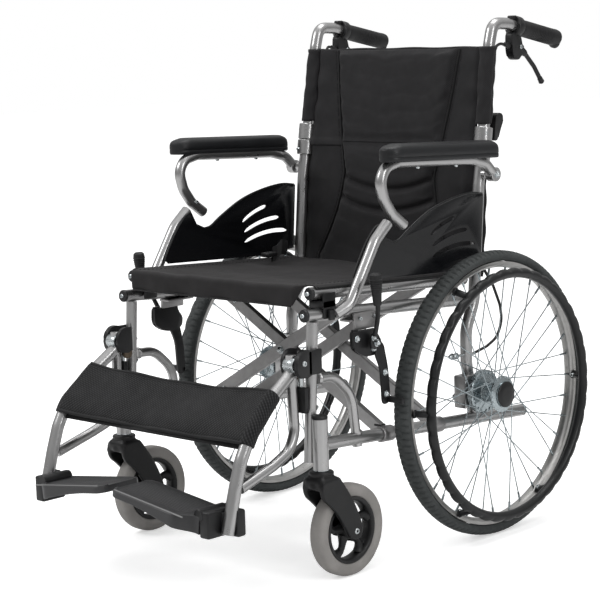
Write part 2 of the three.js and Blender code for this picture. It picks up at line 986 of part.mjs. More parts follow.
add("left_rail_brace", brace(1, [-262, -128]), paint.brace);
add("right_rail_brace", brace(-1, [-244, -110]), paint.brace);
add("upper_back_panel", backPanel(712, 880, 0), paint.fabric);
add("lower_back_panel", backPanel(486, 702, 2), paint.fabric);
add("calf_strap", calfStrap(), paint.mesh);

export default object;
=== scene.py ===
"""Folding manual wheelchair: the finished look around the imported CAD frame.

Helper functions measure in millimetres from the rear axle's middle (x across, y along the
chair, z up from the floor), as the frame's own drawing does, and give Blender metres.
"""

import math

import bmesh
import bpy
from mathutils import Matrix, Vector, noise


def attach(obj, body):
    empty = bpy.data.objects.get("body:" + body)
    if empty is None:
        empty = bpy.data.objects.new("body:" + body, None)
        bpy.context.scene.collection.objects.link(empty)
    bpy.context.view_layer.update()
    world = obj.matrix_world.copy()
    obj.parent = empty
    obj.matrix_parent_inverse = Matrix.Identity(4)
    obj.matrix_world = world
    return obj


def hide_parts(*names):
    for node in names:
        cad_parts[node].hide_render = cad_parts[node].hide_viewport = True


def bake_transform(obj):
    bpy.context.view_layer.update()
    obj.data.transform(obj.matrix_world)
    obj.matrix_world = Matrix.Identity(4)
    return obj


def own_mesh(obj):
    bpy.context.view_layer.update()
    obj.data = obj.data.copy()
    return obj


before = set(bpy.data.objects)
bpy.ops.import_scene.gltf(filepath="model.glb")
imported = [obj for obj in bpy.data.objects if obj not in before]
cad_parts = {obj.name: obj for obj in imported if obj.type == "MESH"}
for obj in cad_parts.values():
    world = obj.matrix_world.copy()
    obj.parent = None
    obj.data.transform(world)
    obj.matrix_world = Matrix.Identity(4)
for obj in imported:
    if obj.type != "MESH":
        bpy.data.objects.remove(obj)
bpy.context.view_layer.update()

# ---- Sizes shared with the frame ---------------------------------------------------------

MM = 0.001
AXLE_Y = 204.17  # the rear axle's place along Y
AXLE_Z = 260.0
FRAME_X = 228.0
CANE_X = 222.0
GRIP_X = 218.0
TUBE_R = 11.0
WHEEL_X = 274.6
HANDRIM_X = 315.3
HANDRIM_R = 220.9
CASTER_X = 251.0
STEM_Y = -433.0
CASTER_AXLE_Y = -374.4
CASTER_R = 80.0
ARMREST_X = 252.0
PANEL_X = 237.5
PAD_X = 264.0
HANGER_X = 233.0
HANGER_TOP_X = 222.0
SEAT_RAIL_X = 223.0
SEAT_FRONT_Y = -432.0
FOOT_PIVOT = (205.0, -645.0, 147.0)
FOOT_SLOPE = math.radians(7.4)
FOLD_Z = 707.0
RAIL_ANGLE = math.radians(3.24)
RAIL_SLOPE = math.tan(RAIL_ANGLE)
SIDES = (("left", 1), ("right", -1))


def lower_rail_z(y):
    return 207.1 - RAIL_SLOPE * y


def upper_rail_z(y):
    return 429.0 - RAIL_SLOPE * y


def seat_rail_z(y):
    return 467.0 - 0.9 * RAIL_SLOPE * y


def at(x, y, z):
    """A point in metres in the frame's own coordinates."""
    return Vector((x * MM, (y + AXLE_Y) * MM, z * MM))


# ---- Mesh building -----------------------------------------------------------------------

def rounded(points, radius, per_bend=8):
    """The points of a polyline with each inner corner turned into a bend of that radius."""
    out = [points[0]]
    for before, corner, after in zip(points, points[1:], points[2:]):
        back = before - corner
        ahead = after - corner
        half = max(back.angle(ahead) / 2, 0.05)
        reach = min(radius * MM / math.tan(half), back.length * 0.48, ahead.length * 0.48)
        start = corner + back.normalized() * reach
        end = corner + ahead.normalized() * reach
        for i in range(per_bend + 1):
            t = i / per_bend
            out.append(start * (1 - t) ** 2 + corner * 2 * t * (1 - t) + end * t * t)
    out.append(points[-1])
    return out


def ring_faces(bm, rings, close=False):
    """Quads between neighbouring rings of vertices, which all have the same count."""
    pairs = list(zip(rings, rings[1:]))
    if close:
        pairs.append((rings[-1], rings[0]))
    for low, high in pairs:
        count = len(low)
        for i in range(count):
            k = (i + 1) % count
            bm.faces.new((low[i], low[k], high[k], high[i]))


def sweep(bm, stations, radii, sides=24, caps=True, squash=(1.0, 1.0), round_ends=0.0):
    """A round bar along the stations. radii is one radius in mm or one for each station."""
    if not isinstance(radii, (list, tuple)):
        radii = [radii] * len(stations)
    if round_ends:
        first = (stations[1] - stations[0]).normalized()
        last = (stations[-1] - stations[-2]).normalized()
        edge = round_ends * MM
        stations = [
            stations[0], stations[0] + first * edge, *stations[1:-1], stations[-1] - last * edge,
            stations[-1]
        ]
        radii = [radii[0] - round_ends, radii[0], *radii[1:-1], radii[-1], radii[-1] - round_ends]
    side = None
    rings = []
    for i, here in enumerate(stations):
        tangent = (stations[min(i + 1, len(stations) - 1)] - stations[max(i - 1, 0)]).normalized()
        if side is None:
            side = tangent.orthogonal().normalized()
            if abs(tangent.x) < 0.9:
                side = (Vector((1, 0, 0)) - tangent * tangent.x).normalized()
        side = (side - tangent * side.dot(tangent)).normalized()
        up = tangent.cross(side)
        ring = []
        for k in range(sides):
            angle = 2 * math.pi * k / sides
            out = side * math.cos(angle) * squash[0] + up * math.sin(angle) * squash[1]
            ring.append(bm.verts.new(here + out * radii[i] * MM))
        rings.append(ring)
    ring_faces(bm, rings)
    if caps:
        bm.faces.new(list(reversed(rings[0])))
        bm.faces.new(rings[-1])


def bent(bm, points, radius, bend=50, sides=24, **options):
    """A bent tube through (x, y, z) points in mm."""
    places = [at(*p) for p in points]
    sweep(bm, rounded(places, bend) if len(places) > 2 else places, radius, sides, **options)


def lathe(bm, centre, axis, profile, segments=48, closed=False):
    """A turned solid: profile is (radius, height along axis) in mm, from a centre in metres."""
    axis = Vector(axis).normalized()
    side = axis.orthogonal().normalized()
    up = axis.cross(side)
    rings = []
    for k in range(segments):
        angle = 2 * math.pi * k / segments
        out = side * math.cos(angle) + up * math.sin(angle)
        rings.append([(centre + out * r * MM + axis * h * MM) for r, h in profile])
    columns = []
    for j, (r, _) in enumerate(profile):
        if r < 1e-6:
            columns.append([bm.verts.new(rings[0][j])])
        else:
            columns.append([bm.verts.new(ring[j]) for ring in rings])
    pairs = list(zip(columns, columns[1:]))
    if closed:
        pairs.append((columns[-1], columns[0]))
    for low, high in pairs:
        for k in range(segments):
            n = (k + 1) % segments
            if len(low) == 1 and len(high) == 1:
                continue
            if len(low) == 1:
                bm.faces.new((low[0], high[n], high[k]))
            elif len(high) == 1:
                bm.faces.new((low[k], low[n], high[0]))
            else:
                bm.faces.new((low[k], low[n], high[n], high[k]))


def block(bm, x, y, z, edge=1.5, segments=2, turn=None):
    """A block between (low, high) limits in mm, with rounded edges."""
    corners = []
    for cx in sorted(x):
        for cy in sorted(y):
            for cz in sorted(z):
                corners.append(bm.verts.new(at(cx, cy, cz)))
    a, b, c, d, e, f, g, h = corners
    faces = [(a, b, d, c), (e, g, h, f), (a, e, f, b), (c, d, h, g), (a, c, g, e), (b, f, h, d)]
    made = [bm.faces.new(face) for face in faces]
    if turn:
        bmesh.ops.transform(bm, matrix=turn, verts=corners)
    if edge:
        edges = list({e for face in made for e in face.edges})
        bmesh.ops.bevel(
            bm, geom=edges, offset=edge * MM, segments=segments, affect="EDGES", profile=0.5
        )


def slab(bm, outline, x0, x1, edge=1.0, segments=2):
    """A flat plate across X: outline is (y, z) in mm."""
    low, high = sorted((x0, x1))
    first = [bm.verts.new(at(low, y, z)) for y, z in outline]
    second = [bm.verts.new(at(high, y, z)) for y, z in outline]
    start = bm.faces.new(first)
    end = bm.faces.new(list(reversed(second)))
    count = len(outline)
    for i in range(count):
        k = (i + 1) % count
        bm.faces.new((first[k], first[i], second[i], second[k]))
    if edge:
        rims = list(start.edges) + list(end.edges)
        bmesh.ops.bevel(
            bm, geom=rims, offset=edge * MM, segments=segments, affect="EDGES", profile=0.5
        )


def screw(bm, place, direction, radius=4.0, height=2.6):
    """A pan-head screw with a socket, standing on a surface."""
    profile = [
        (0, -1.0), (radius, -1.0), (radius, height * 0.55), (radius * 0.82, height),
        (radius * 0.45, height)
    ]
    profile += [(radius * 0.42, height * 0.35), (0, height * 0.35)]
    lathe(bm, place, direction, profile, 20)


def nut(bm, place, direction, radius=6.0, height=5.0):
    """A domed hexagon nut with its washer."""
    direction = Vector(direction).normalized()
    lathe(
        bm, place, direction, [(0, -0.5), (radius * 1.25, -0.5), (radius * 1.25, 0.9), (0, 0.9)], 24
    )
    lathe(
        bm, place, direction,
        [(0, 0), (radius, 0), (radius, height * 0.8), (radius * 0.85, height)], 6
    )
    dome = [
        (radius * 0.8, height * 0.9), (radius * 0.6, height * 1.35), (radius * 0.3, height * 1.6),
        (0, height * 1.66)
    ]
    lathe(bm, place, direction, dome, 20)


def object_of(bm, name, material=None, smooth=180):
    """Turns a finished bmesh into an object, shaded smooth up to an angle in degrees."""
    bmesh.ops.recalc_face_normals(bm, faces=bm.faces)
    mesh = bpy.data.meshes.new(name)
    bm.to_mesh(mesh)
    bm.free()
    if material:
        mesh.materials.append(material)
        shade_smooth(mesh)
        mesh.set_sharp_from_angle(angle=math.radians(smooth))
    made = bpy.data.objects.new(name, mesh)
    bpy.context.scene.collection.objects.link(made)
    return made


def shade_smooth(mesh):
    for polygon in mesh.polygons:
        polygon.use_smooth = True


def piece(name, body, material, build, replaces=(), smooth=40, ride=True):
    """One visible piece: build(bm) fills its mesh, and it rides on a body of the frame."""
    bm = bmesh.new()
    build(bm)
    made = object_of(bm, name, material, smooth)
    if ride:
        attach(made, body)
    for node in replaces:
        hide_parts(node)
    return made


# ---- Materials ---------------------------------------------------------------------------

class Shader:
    """A node material with short names for what the finishes below have in common."""

    def __init__(self, name, color, roughness, metallic=0.0, **sockets):
        self.material = bpy.data.materials.new(name)
        self.material.use_nodes = True
        self.tree = self.material.node_tree
        self.surface = self.tree.nodes["Principled BSDF"]
        self.surface.inputs["Base Color"].default_value = (*color, 1)
        self.surface.inputs["Roughness"].default_value = roughness
        self.surface.inputs["Metallic"].default_value = metallic
        for socket, value in sockets.items():
            self.surface.inputs[socket.replace("_", " ")].default_value = value
        self.place = self.node("ShaderNodeTexCoord").outputs["Object"]
        self.height = None

    def node(self, kind, **values):
        made = self.tree.nodes.new(kind)
        for key, value in values.items():
            if key in made.inputs:
                made.inputs[key].default_value = value
            else:
                setattr(made, key, value)
        return made

    def link(self, source, target):
        self.tree.links.new(source, target)

    def noise(self, scale, detail=3.0, roughness=0.5, stretch=None):
        made = self.node("ShaderNodeTexNoise", Scale=scale, Detail=detail, Roughness=roughness)
        place = self.place
        if stretch:
            mapping = self.node("ShaderNodeMapping", Scale=stretch)
            self.link(place, mapping.inputs["Vector"])
            place = mapping.outputs["Vector"]
        self.link(place, made.inputs["Vector"])
        return made.outputs["Fac"]

    def range(self, value, low, high, to_low, to_high):
        made = self.node("ShaderNodeMapRange")
        for key, number in zip(
            ("From Min", "From Max", "To Min", "To Max"), (low, high, to_low, to_high)
        ):
            made.inputs[key].default_value = number
        self.link(value, made.inputs["Value"])
        return made.outputs["Result"]

    def maths(self, kind, a, b=0.0):
        made = self.node("ShaderNodeMath", operation=kind)
        for socket, value in zip(made.inputs, (a, b)):
            if isinstance(value, (int, float)):
                socket.default_value = value
            else:
                self.link(value, socket)
        return made.outputs["Value"]

    def mix(self, factor, first, second):
        made = self.node("ShaderNodeMix", data_type="RGBA")
        self.link(factor, made.inputs[0])
        for socket, value in ((made.inputs[6], first), (made.inputs[7], second)):
            if isinstance(value, tuple):
                socket.default_value = (*value, 1)
            else:
                self.link(value, socket)
        return made.outputs[2]

    def color(self, value):
        self.link(value, self.surface.inputs["Base Color"])

    def roughness(self, value):
        self.link(value, self.surface.inputs["Roughness"])

    def bump(self, value, strength, distance):
        made = self.node("ShaderNodeBump", Strength=strength, Distance=distance)
        self.link(value, made.inputs["Height"])
        if self.height:
            self.link(self.height, made.inputs["Normal"])
        self.height = made.outputs["Normal"]
        self.link(self.height, self.surface.inputs["Normal"])

    def edges(self, low=0.50, high=0.58):
        """1 along convex edges, 0 elsewhere."""
        geometry = self.node("ShaderNodeNewGeometry")
        return self.range(geometry.outputs["Pointiness"], low, high, 0.0, 1.0)


def coated_metal(name, color, roughness, metallic, flake=0.025):
    """Silver powder coat: fine metal flake, faint orange peel, scuffs along the edges."""
    s = Shader(name, color, roughness, metallic)
    speck = s.noise(1400.0, 2.0)
    cloud = s.noise(9.0, 2.0)
    wear = s.maths("MULTIPLY", s.edges(0.53, 0.64), s.noise(90.0, 4.0))
    bright = tuple(min(c * (1 + 2.4 * flake), 1.0) for c in color)
    dark = tuple(c * (1 - 2.4 * flake) for c in color)
    flakes = s.mix(speck, dark, bright)
    clouded = s.mix(s.range(cloud, 0.3, 0.7, 0.0, 0.3), flakes, tuple(c * 0.94 for c in color))
    s.color(s.mix(s.range(wear, 0.3, 0.7, 0.0, 0.18), clouded, (0.62, 0.62, 0.62)))
    s.roughness(s.range(s.noise(60.0, 4.0), 0.3, 0.7, roughness - 0.01, roughness + 0.02))
    s.bump(speck, 0.012, 0.00005)
    s.bump(s.noise(160.0, 1.0), 0.01, 0.0001)
    return s.material


def plated(name, color, roughness):
    """Zinc-plated or bare steel fittings with fine tool marks."""
    s = Shader(name, color, roughness, 1.0)
    marks = s.noise(300.0, 4.0, 0.6, (1.0, 0.2, 1.0))
    s.color(
        s.mix(
            s.range(s.noise(40.0, 3.0), 0.35, 0.7, 0.0, 0.5), color, tuple(c * 0.72 for c in color)
        )
    )
    s.roughness(s.range(marks, 0.3, 0.7, roughness - 0.06, roughness + 0.12))
    s.bump(marks, 0.04, 0.0001)
    return s.material


def moulded(name, color, roughness, grain=900.0, depth=0.12, sheen_edges=0.5):
    """Moulded plastic: fine spark-eroded grain, with convex edges painted paler as a painted
    highlight.
    """
    s = Shader(name, color, roughness, 0.0, Specular_IOR_Level=0.3)
    cells = s.node("ShaderNodeTexVoronoi", Scale=grain)
    s.link(s.place, cells.inputs["Vector"])
    cloud = s.noise(30.0, 4.0)
    pale = tuple(min(c * 1.9 + 0.01, 1.0) for c in color)
    # Convex edges are painted paler here: a painted highlight along the edges.
    painted_edge_sheen = s.maths("MULTIPLY", s.edges(), sheen_edges)
    s.color(
        s.mix(
            painted_edge_sheen, s.mix(cloud, tuple(c * 0.8 for c in color), tuple(c * 1.2 for c in color)), pale
        )
    )
    s.roughness(s.range(cloud, 0.3, 0.7, roughness - 0.05, roughness + 0.08))
    s.bump(cells.outputs["Distance"], depth, 0.0002)
    return s.material


def fabric(name, color, thread, contrast=0.55, roughness=0.85, diagonal=False):
    """Woven cloth: warp and weft threads from the sheet's own flat coordinates."""
    s = Shader(
        name, color, roughness, 0.0, Sheen_Weight=0.05, Sheen_Roughness=0.5, Specular_IOR_Level=0.22
    )
    flat = s.node("ShaderNodeUVMap", uv_map="cloth").outputs["UV"]
    split = s.node("ShaderNodeSeparateXYZ")
    if diagonal:
        turned = s.node("ShaderNodeMapping", Rotation=(0, 0, math.radians(45)))
        s.link(flat, turned.inputs["Vector"])
        flat = turned.outputs["Vector"]
    s.link(flat, split.inputs["Vector"])
    waves = []
    for axis in ("X", "Y"):
        turns = s.maths("MULTIPLY", split.outputs[axis], 2 * math.pi / thread)
        waves.append(s.maths("SINE", turns))
    weave = s.maths("MULTIPLY", waves[0], waves[1])
    threads = s.maths("ADD", s.maths("ABSOLUTE", waves[0]), s.maths("ABSOLUTE", waves[1]))
    if diagonal:
        height = s.maths(
            "ADD", s.maths("MULTIPLY", waves[0], 0.7), s.maths("MULTIPLY", waves[1], 0.3)
        )
    else:
        height = s.maths("ADD", s.maths("MULTIPLY", weave, 0.5), s.maths("MULTIPLY", threads, 0.35))
    dark = tuple(c * (1 - contrast) for c in color)
    light = tuple(min(c * (1 + contrast), 1.0) for c in color)
    woven = s.mix(s.range(height, -0.3, 1.1, 0.0, 1.0), dark, light)
    faded = s.mix(
        s.range(s.noise(9.0, 4.0), 0.4, 0.75, 0.0, 0.35), woven, tuple(c * 1.35 for c in color)
    )
    s.color(faded)
    s.roughness(s.range(s.noise(50.0, 3.0), 0.3, 0.7, roughness - 0.08, roughness + 0.05))
    s.bump(height, 0.35, 0.0004)
    s.bump(s.noise(70.0, 4.0), 0.12, 0.002)
    return s.material


def tyre_rubber(name, color):
    """Tyre rubber: dusty, with a fine noise bump."""
    s = Shader(name, color, 0.72, 0.0)
    dust = s.range(s.noise(25.0, 5.0), 0.4, 0.75, 0.0, 0.4)
    s.color(s.mix(dust, color, tuple(c * 1.6 + 0.01 for c in color)))
    s.roughness(s.range(s.noise(120.0, 4.0), 0.3, 0.7, 0.62, 0.82))
    s.bump(s.noise(500.0, 3.0), 0.15, 0.0004)
    return s.material


silver = coated_metal("silver_powder_coat", (0.38, 0.378, 0.378), 0.28, 0.93)
# A darker copy of the silver powder coat: on the cross bars it is painted shade for the shadow they
# lie in, and the brake clamps use it as their own grey coat.
grey_coat_and_painted_shade = coated_metal("grey_powder_coat_and_painted_shade", (0.30, 0.295, 0.295), 0.38, 0.85, 0.03)
steel = plated("zinc_plate", (0.52, 0.55, 0.56), 0.22)
spoke_metal = plated("spoke_steel", (0.40, 0.45, 0.47), 0.24)
brass = plated("brass_bush", (0.17, 0.135, 0.10), 0.4)
rim_metal = plated("brushed_alloy", (0.43, 0.425, 0.415), 0.33)
tyre_black = tyre_rubber("drive_tyre_rubber", (0.030, 0.034, 0.034))
caster_grey = tyre_rubber("caster_tyre_rubber", (0.22, 0.21, 0.20))
black = moulded("black_plastic", (0.0055, 0.0055, 0.006), 0.38)
black_satin = moulded("black_painted_metal", (0.0045, 0.0045, 0.005), 0.32, 1600.0, 0.05)
rubber = moulded("grip_rubber", (0.006, 0.006, 0.0065), 0.52, 1200.0, 0.2)
ring_plastic = moulded("handrim_plastic", (0.006, 0.0065, 0.007), 0.3, 1400.0, 0.06)
gloss = moulded("panel_gloss", (0.0035, 0.0037, 0.0045), 0.16, 2000.0, 0.01, 0.3)
foot_grey = moulded("footplate_plastic", (0.021, 0.021, 0.022), 0.46, 700.0, 0.2)
inlay = moulded("footplate_inlay", (0.12, 0.12, 0.12), 0.4, 900.0, 0.1)
pad_skin = moulded("arm_pad_skin", (0.006, 0.0064, 0.0074), 0.44, 520.0, 0.3)
cable_black = moulded("cable_sleeve", (0.008, 0.008, 0.008), 0.35, 800.0, 0.08)
seat_cloth = fabric("seat_cloth", (0.0135, 0.0125, 0.013), 0.0034, contrast=0.65)
back_cloth = fabric("back_cloth", (0.0145, 0.014, 0.015), 0.0034, contrast=0.65)
mesh_cloth = fabric("calf_mesh", (0.017, 0.017, 0.018), 0.0048, contrast=0.9, diagonal=True)
band_cloth = fabric("binding_tape", (0.0055, 0.0055, 0.006), 0.001, contrast=0.4, roughness=0.6)

# ---- Side frames -------------------------------------------------------------------------

def end_cap(bm, place, direction, radius=9.4):
    """A black plug in a tube's end."""
    profile = [
        (0, -6), (radius, -6), (radius, 0), (radius + 1.7, 0.3), (radius + 1.7, 3.2), (radius, 5.4),
        (0, 5.8)
    ]
    lathe(bm, place, direction, profile, 28)


def frame_side(label, side):
    body = f"{label}_frame"
    x = side * FRAME_X
    rear = at(0, 1, 0) - at(0, 0, 0)
    forward = Vector((0, -math.cos(RAIL_ANGLE), math.sin(RAIL_ANGLE)))

    def front_post(bm):
        bent(bm, [(x, -436, 205), (x, -420, upper_rail_z(-420) - TUBE_R - 0.4)], 10)
        bottom, top = at(side * CASTER_X, STEM_Y, 194.6), at(side * CASTER_X, STEM_Y, 282)
        sweep(bm, [bottom, top], 13.5, 32, round_ends=0.8)
        for z in (206, 246):
            block(bm, (x, side * CASTER_X), (STEM_Y - 4, STEM_Y + 4), (z, z + 26), 2.5)

    piece(f"{label}_post", body, silver, front_post, [f"{label}_front_post"])

    def upper_rail(bm):
        bent(bm, [(x, -437, upper_rail_z(-437)), (x, -1, upper_rail_z(-1))], TUBE_R)
        y = -376
        points = [
            (side * (FRAME_X + 13), y, upper_rail_z(y)),
            (side * ARMREST_X, -352, 464),
            (side * ARMREST_X, -338, 484),
            (side * ARMREST_X, -285, 565),
            (side * ARMREST_X, -251, 593),
        ]
        bent(bm, points, 10, 60, round_ends=0.8)
        # Weld bead where the support leaves the rail.
        sweep(
            bm,
            [
                at(x + side * 9, y - 16, upper_rail_z(y) + 1),
                at(x + side * 9, y + 18, upper_rail_z(y) + 1)
            ],
            4, 12, round_ends=3
        )

    piece(f"{label}_top_rail", body, silver, upper_rail, [f"{label}_upper_rail"])

    def lower_rail(bm):
        front = -410
        bent(
            bm, [(x, front - 12, lower_rail_z(front - 12)), (x, 143, lower_rail_z(143))], TUBE_R,
            round_ends=0.5
        )
        bent(bm, [(x, -411, 344), (x, -372, 343), (x, -328, 304), (x, -317, 212)], 8.5, 60)
        for y, z in ((-410, 344), (-317.3, lower_rail_z(-317) + 9.5)):
            lathe(
                bm, at(x, y, z), (0, 1, 0) if z > 300 else (0, 0, 1),
                [(8, -3), (10.5, 0), (10.8, 1.5), (8.4, 5)], 24
            )

    piece(f"{label}_bottom_rail", body, silver, lower_rail, [f"{label}_lower_rail"])

    def rear_post(bm):
        cx = side * CANE_X
        start = lower_rail_z(8) + TUBE_R
        points = [
            (cx, 8, start), (cx, -9, 310), (cx, -9, 372), (cx, 16, 424), (cx, 36, 634),
            (cx, 47, 690)
        ]
        bent(bm, points, TUBE_R, 70)
        sweep(bm, [at(cx, 44, 678), at(cx, 48.7, FOLD_Z - 0.5)], 16.6, 32, round_ends=1.2)
        block(bm, (side * 216, side * 243), (-40, -6), (232, 292), 3)
        sweep(bm, [at(cx, 41, 654), at(side * 262, 41, 654)], 4, 16)
        sweep(bm, [at(cx, 41, 654), at(side * 239, 41, 654)], 9, 24, round_ends=1)

    piece(
        f"{label}_rear_frame_post", body, silver, rear_post, [f"{label}_rear_post"]
    )

    def caps(bm):
        end_cap(bm, at(x, -437, upper_rail_z(-437)), forward)
        end_cap(bm, at(x, 143, lower_rail_z(143)), -forward)
        end_cap(bm, at(side * CASTER_X, STEM_Y, 282), (0, 0, 1), 12)
        # The saddle that holds the seat rail above the upper rail.
        y = -390
        low, high = upper_rail_z(y) - 6, seat_rail_z(y) + 1
        inner, outer = side * (SEAT_RAIL_X - 16), side * (FRAME_X + 12.4)
        for start, end in ((inner, side * (SEAT_RAIL_X - 11.6)), (side * (FRAME_X + 11.3), outer)):
            block(bm, (start, end), (y - 15, y + 15), (low, high), 1.4)
        block(
            bm, (inner, outer), (y - 15, y + 15), (upper_rail_z(y) + 11.4, seat_rail_z(y) - 11.6),
            1.4
        )
        # Cover between the post's wall and the armrest support's foot.
        block(
            bm, (side * 241, side * 248), (-396, -384), (upper_rail_z(y) - 9, upper_rail_z(y) + 8),
            2
        )

    piece(f"{label}_frame_caps", body, black, caps)

    def fittings(bm):
        screw(bm, at(x, -442.6, upper_rail_z(-442.6)), forward, 4.2)
        for z in (332, 372):
            nut(bm, at(x, -418, z), rear, 4.6, 4.4)
        nut(bm, at(x, -419, 296), rear, 4.6, 4.4)
        screw(bm, at(side * (FRAME_X + 12.6), -390, 452), (side, 0, 0), 4)
        for y in (-322, -284):
            screw(bm, at(side * 247.3, y, 436), (side, 0, 0), 3.6)
        for y, z in ((-30, 250), (-14, 278)):
            nut(bm, at(side * 214, y, z), (-side, 0, 0), 6.5, 5)
        lathe(
            bm, at(side * CASTER_X, STEM_Y, 194.2), (0, 0, -1),
            [(0, -1), (14, -1), (14, 0.1), (0, 0.1)], 28
        )
        screw(bm, at(side * (CANE_X + 4), 29, 690), (side * 0.3, -1, 0), 3.4)
        # Cable stop with its adjuster, in front of the lower end of the cane.
        sweep(bm, [at(side * 224, 12, 326), at(side * 224, -58, 329)], 2.4, 12, round_ends=0.5)
        nut(bm, at(side * 224, -40, 328.3), (0, -1, 0), 5, 6)
        nut(bm, at(side * 224, -52, 328.8), (0, -1, 0), 5, 6)

    piece(f"{label}_frame_fittings", body, steel, fittings)

    def panel(bm):
        top = [
            (28, 619), (-11, 623), (-68, 616), (-124, 601), (-178, 575), (-205, 559), (-223, 556)
        ]
        front = [(-243, 565), (-256, 589), (-270, 583), (-293, 559), (-318, 521), (-325, 506)]
        base = [(-318, 499), (-72, 488), (18, 494)]
        slab(
            bm, smooth_line(top) + smooth_line(front) + base, side * (PANEL_X - 1.4),
            side * (PANEL_X + 1.4), 0.5
        )

    made = piece(
        f"{label}_clothes_guard", body, gloss, panel, [f"{label}_side_panel"]
    )
    cut_vents(made, label, side)

    def rim_line(bm):
        top = smooth_line(
            [
                (26, 619.5), (-11, 623.4), (-68, 616.4), (-124, 601.4), (-178, 575.4),
                (-205, 559.4), (-223, 556.4)
            ]
        )
        front = smooth_line([(-243, 565), (-256, 589)])
        for line in (
            top + front,
            smooth_line(
                [(-256.4, 589.2), (-270.4, 583.2), (-293.4, 559), (-318.4, 521), (-325.4, 506)]
            )
        ):
            sweep(bm, [at(side * (PANEL_X + 0.2), y, z) for y, z in line], 2.1, 10, round_ends=0.6)

    piece(f"{label}_guard_rim", body, black, rim_line)


def smooth_line(points, per=6):
    """A Catmull-Rom curve through (y, z) points."""
    out = []
    for i in range(len(points) - 1):
        p0 = points[max(i - 1, 0)]
        p1, p2 = points[i], points[i + 1]
        p3 = points[min(i + 2, len(points) - 1)]
        for k in range(per):
            t = k / per
            out.append(tuple(
                0.5 * (
                    2 * b + (c - a) * t + (
                        2 * a - 5 * b + 4 * c - d
                    ) * t * t + (3 * b - a - 3 * c + d) * t ** 3
                )
                for a, b, c, d in zip(p0, p1, p2, p3)
            ))
    out.append(points[-1])
    return out


def closed_line(outline, per=4):
    """The same curve through an outline that closes on itself."""
    return smooth_line(outline + [outline[0]], per)[:-1]


def cut_vents(panel, label, side):
    """Three curved slots through the clothes guard."""
    bm = bmesh.new()
    arcs = (((-55, 584), (-122, 559), 4), ((-20, 559), (-118, 539), 6), ((1, 531), (-118, 519), 8))
    for (y0, z0), (y1, z1), rise in arcs:
        upper, lower = [], []
        steps = 16
        for i in range(steps + 1):
            t = i / steps
            y = y0 + (y1 - y0) * t
            z = z0 + (z1 - z0) * t + rise * 4 * t * (1 - t)
            wide = 4 * math.sqrt(max(1 - (2 * t - 1) ** 8, 0.02))
            upper.append((y, z + wide))
            lower.insert(0, (y, z - wide))
        slab(bm, upper + lower, side * (PANEL_X - 6), side * (PANEL_X + 6), 0)
    cutter = object_of(bm, f"{label}_vent_cutter")
    cut = panel.modifiers.new("vents", "BOOLEAN")
    cut.object = cutter
    cut.operation = "DIFFERENCE"
    cut.solver = "EXACT"
    apply_modifiers(panel)
    bpy.data.objects.remove(cutter, do_unlink=True)


def apply_modifiers(made):
    """Bakes a piece's modifiers into its mesh."""
    depsgraph = bpy.context.evaluated_depsgraph_get()
    mesh = bpy.data.meshes.new_from_object(made.evaluated_get(depsgraph))
    made.modifiers.clear()
    made.data = mesh


# ---- Wheels ------------------------------------------------------------------------------

def wheel_ring(bm, centre, section, segments, side=1, radial=None):
    """A ring about X. section is a list of (radius, x) in mm; radial(i, j) adds to a radius."""
    rings = []
    for i in range(segments):
        angle = 2 * math.pi * i / segments
        ring = []
        for j, (radius, x) in enumerate(section):
            r = radius + (radial(i, j) if radial else 0)
            ring.append(
                bm.verts.new(
                    centre + Vector((side * x, r * math.cos(angle), r * math.sin(angle))) * MM
                )
            )
        rings.append(ring)
    ring_faces(bm, rings, close=True)


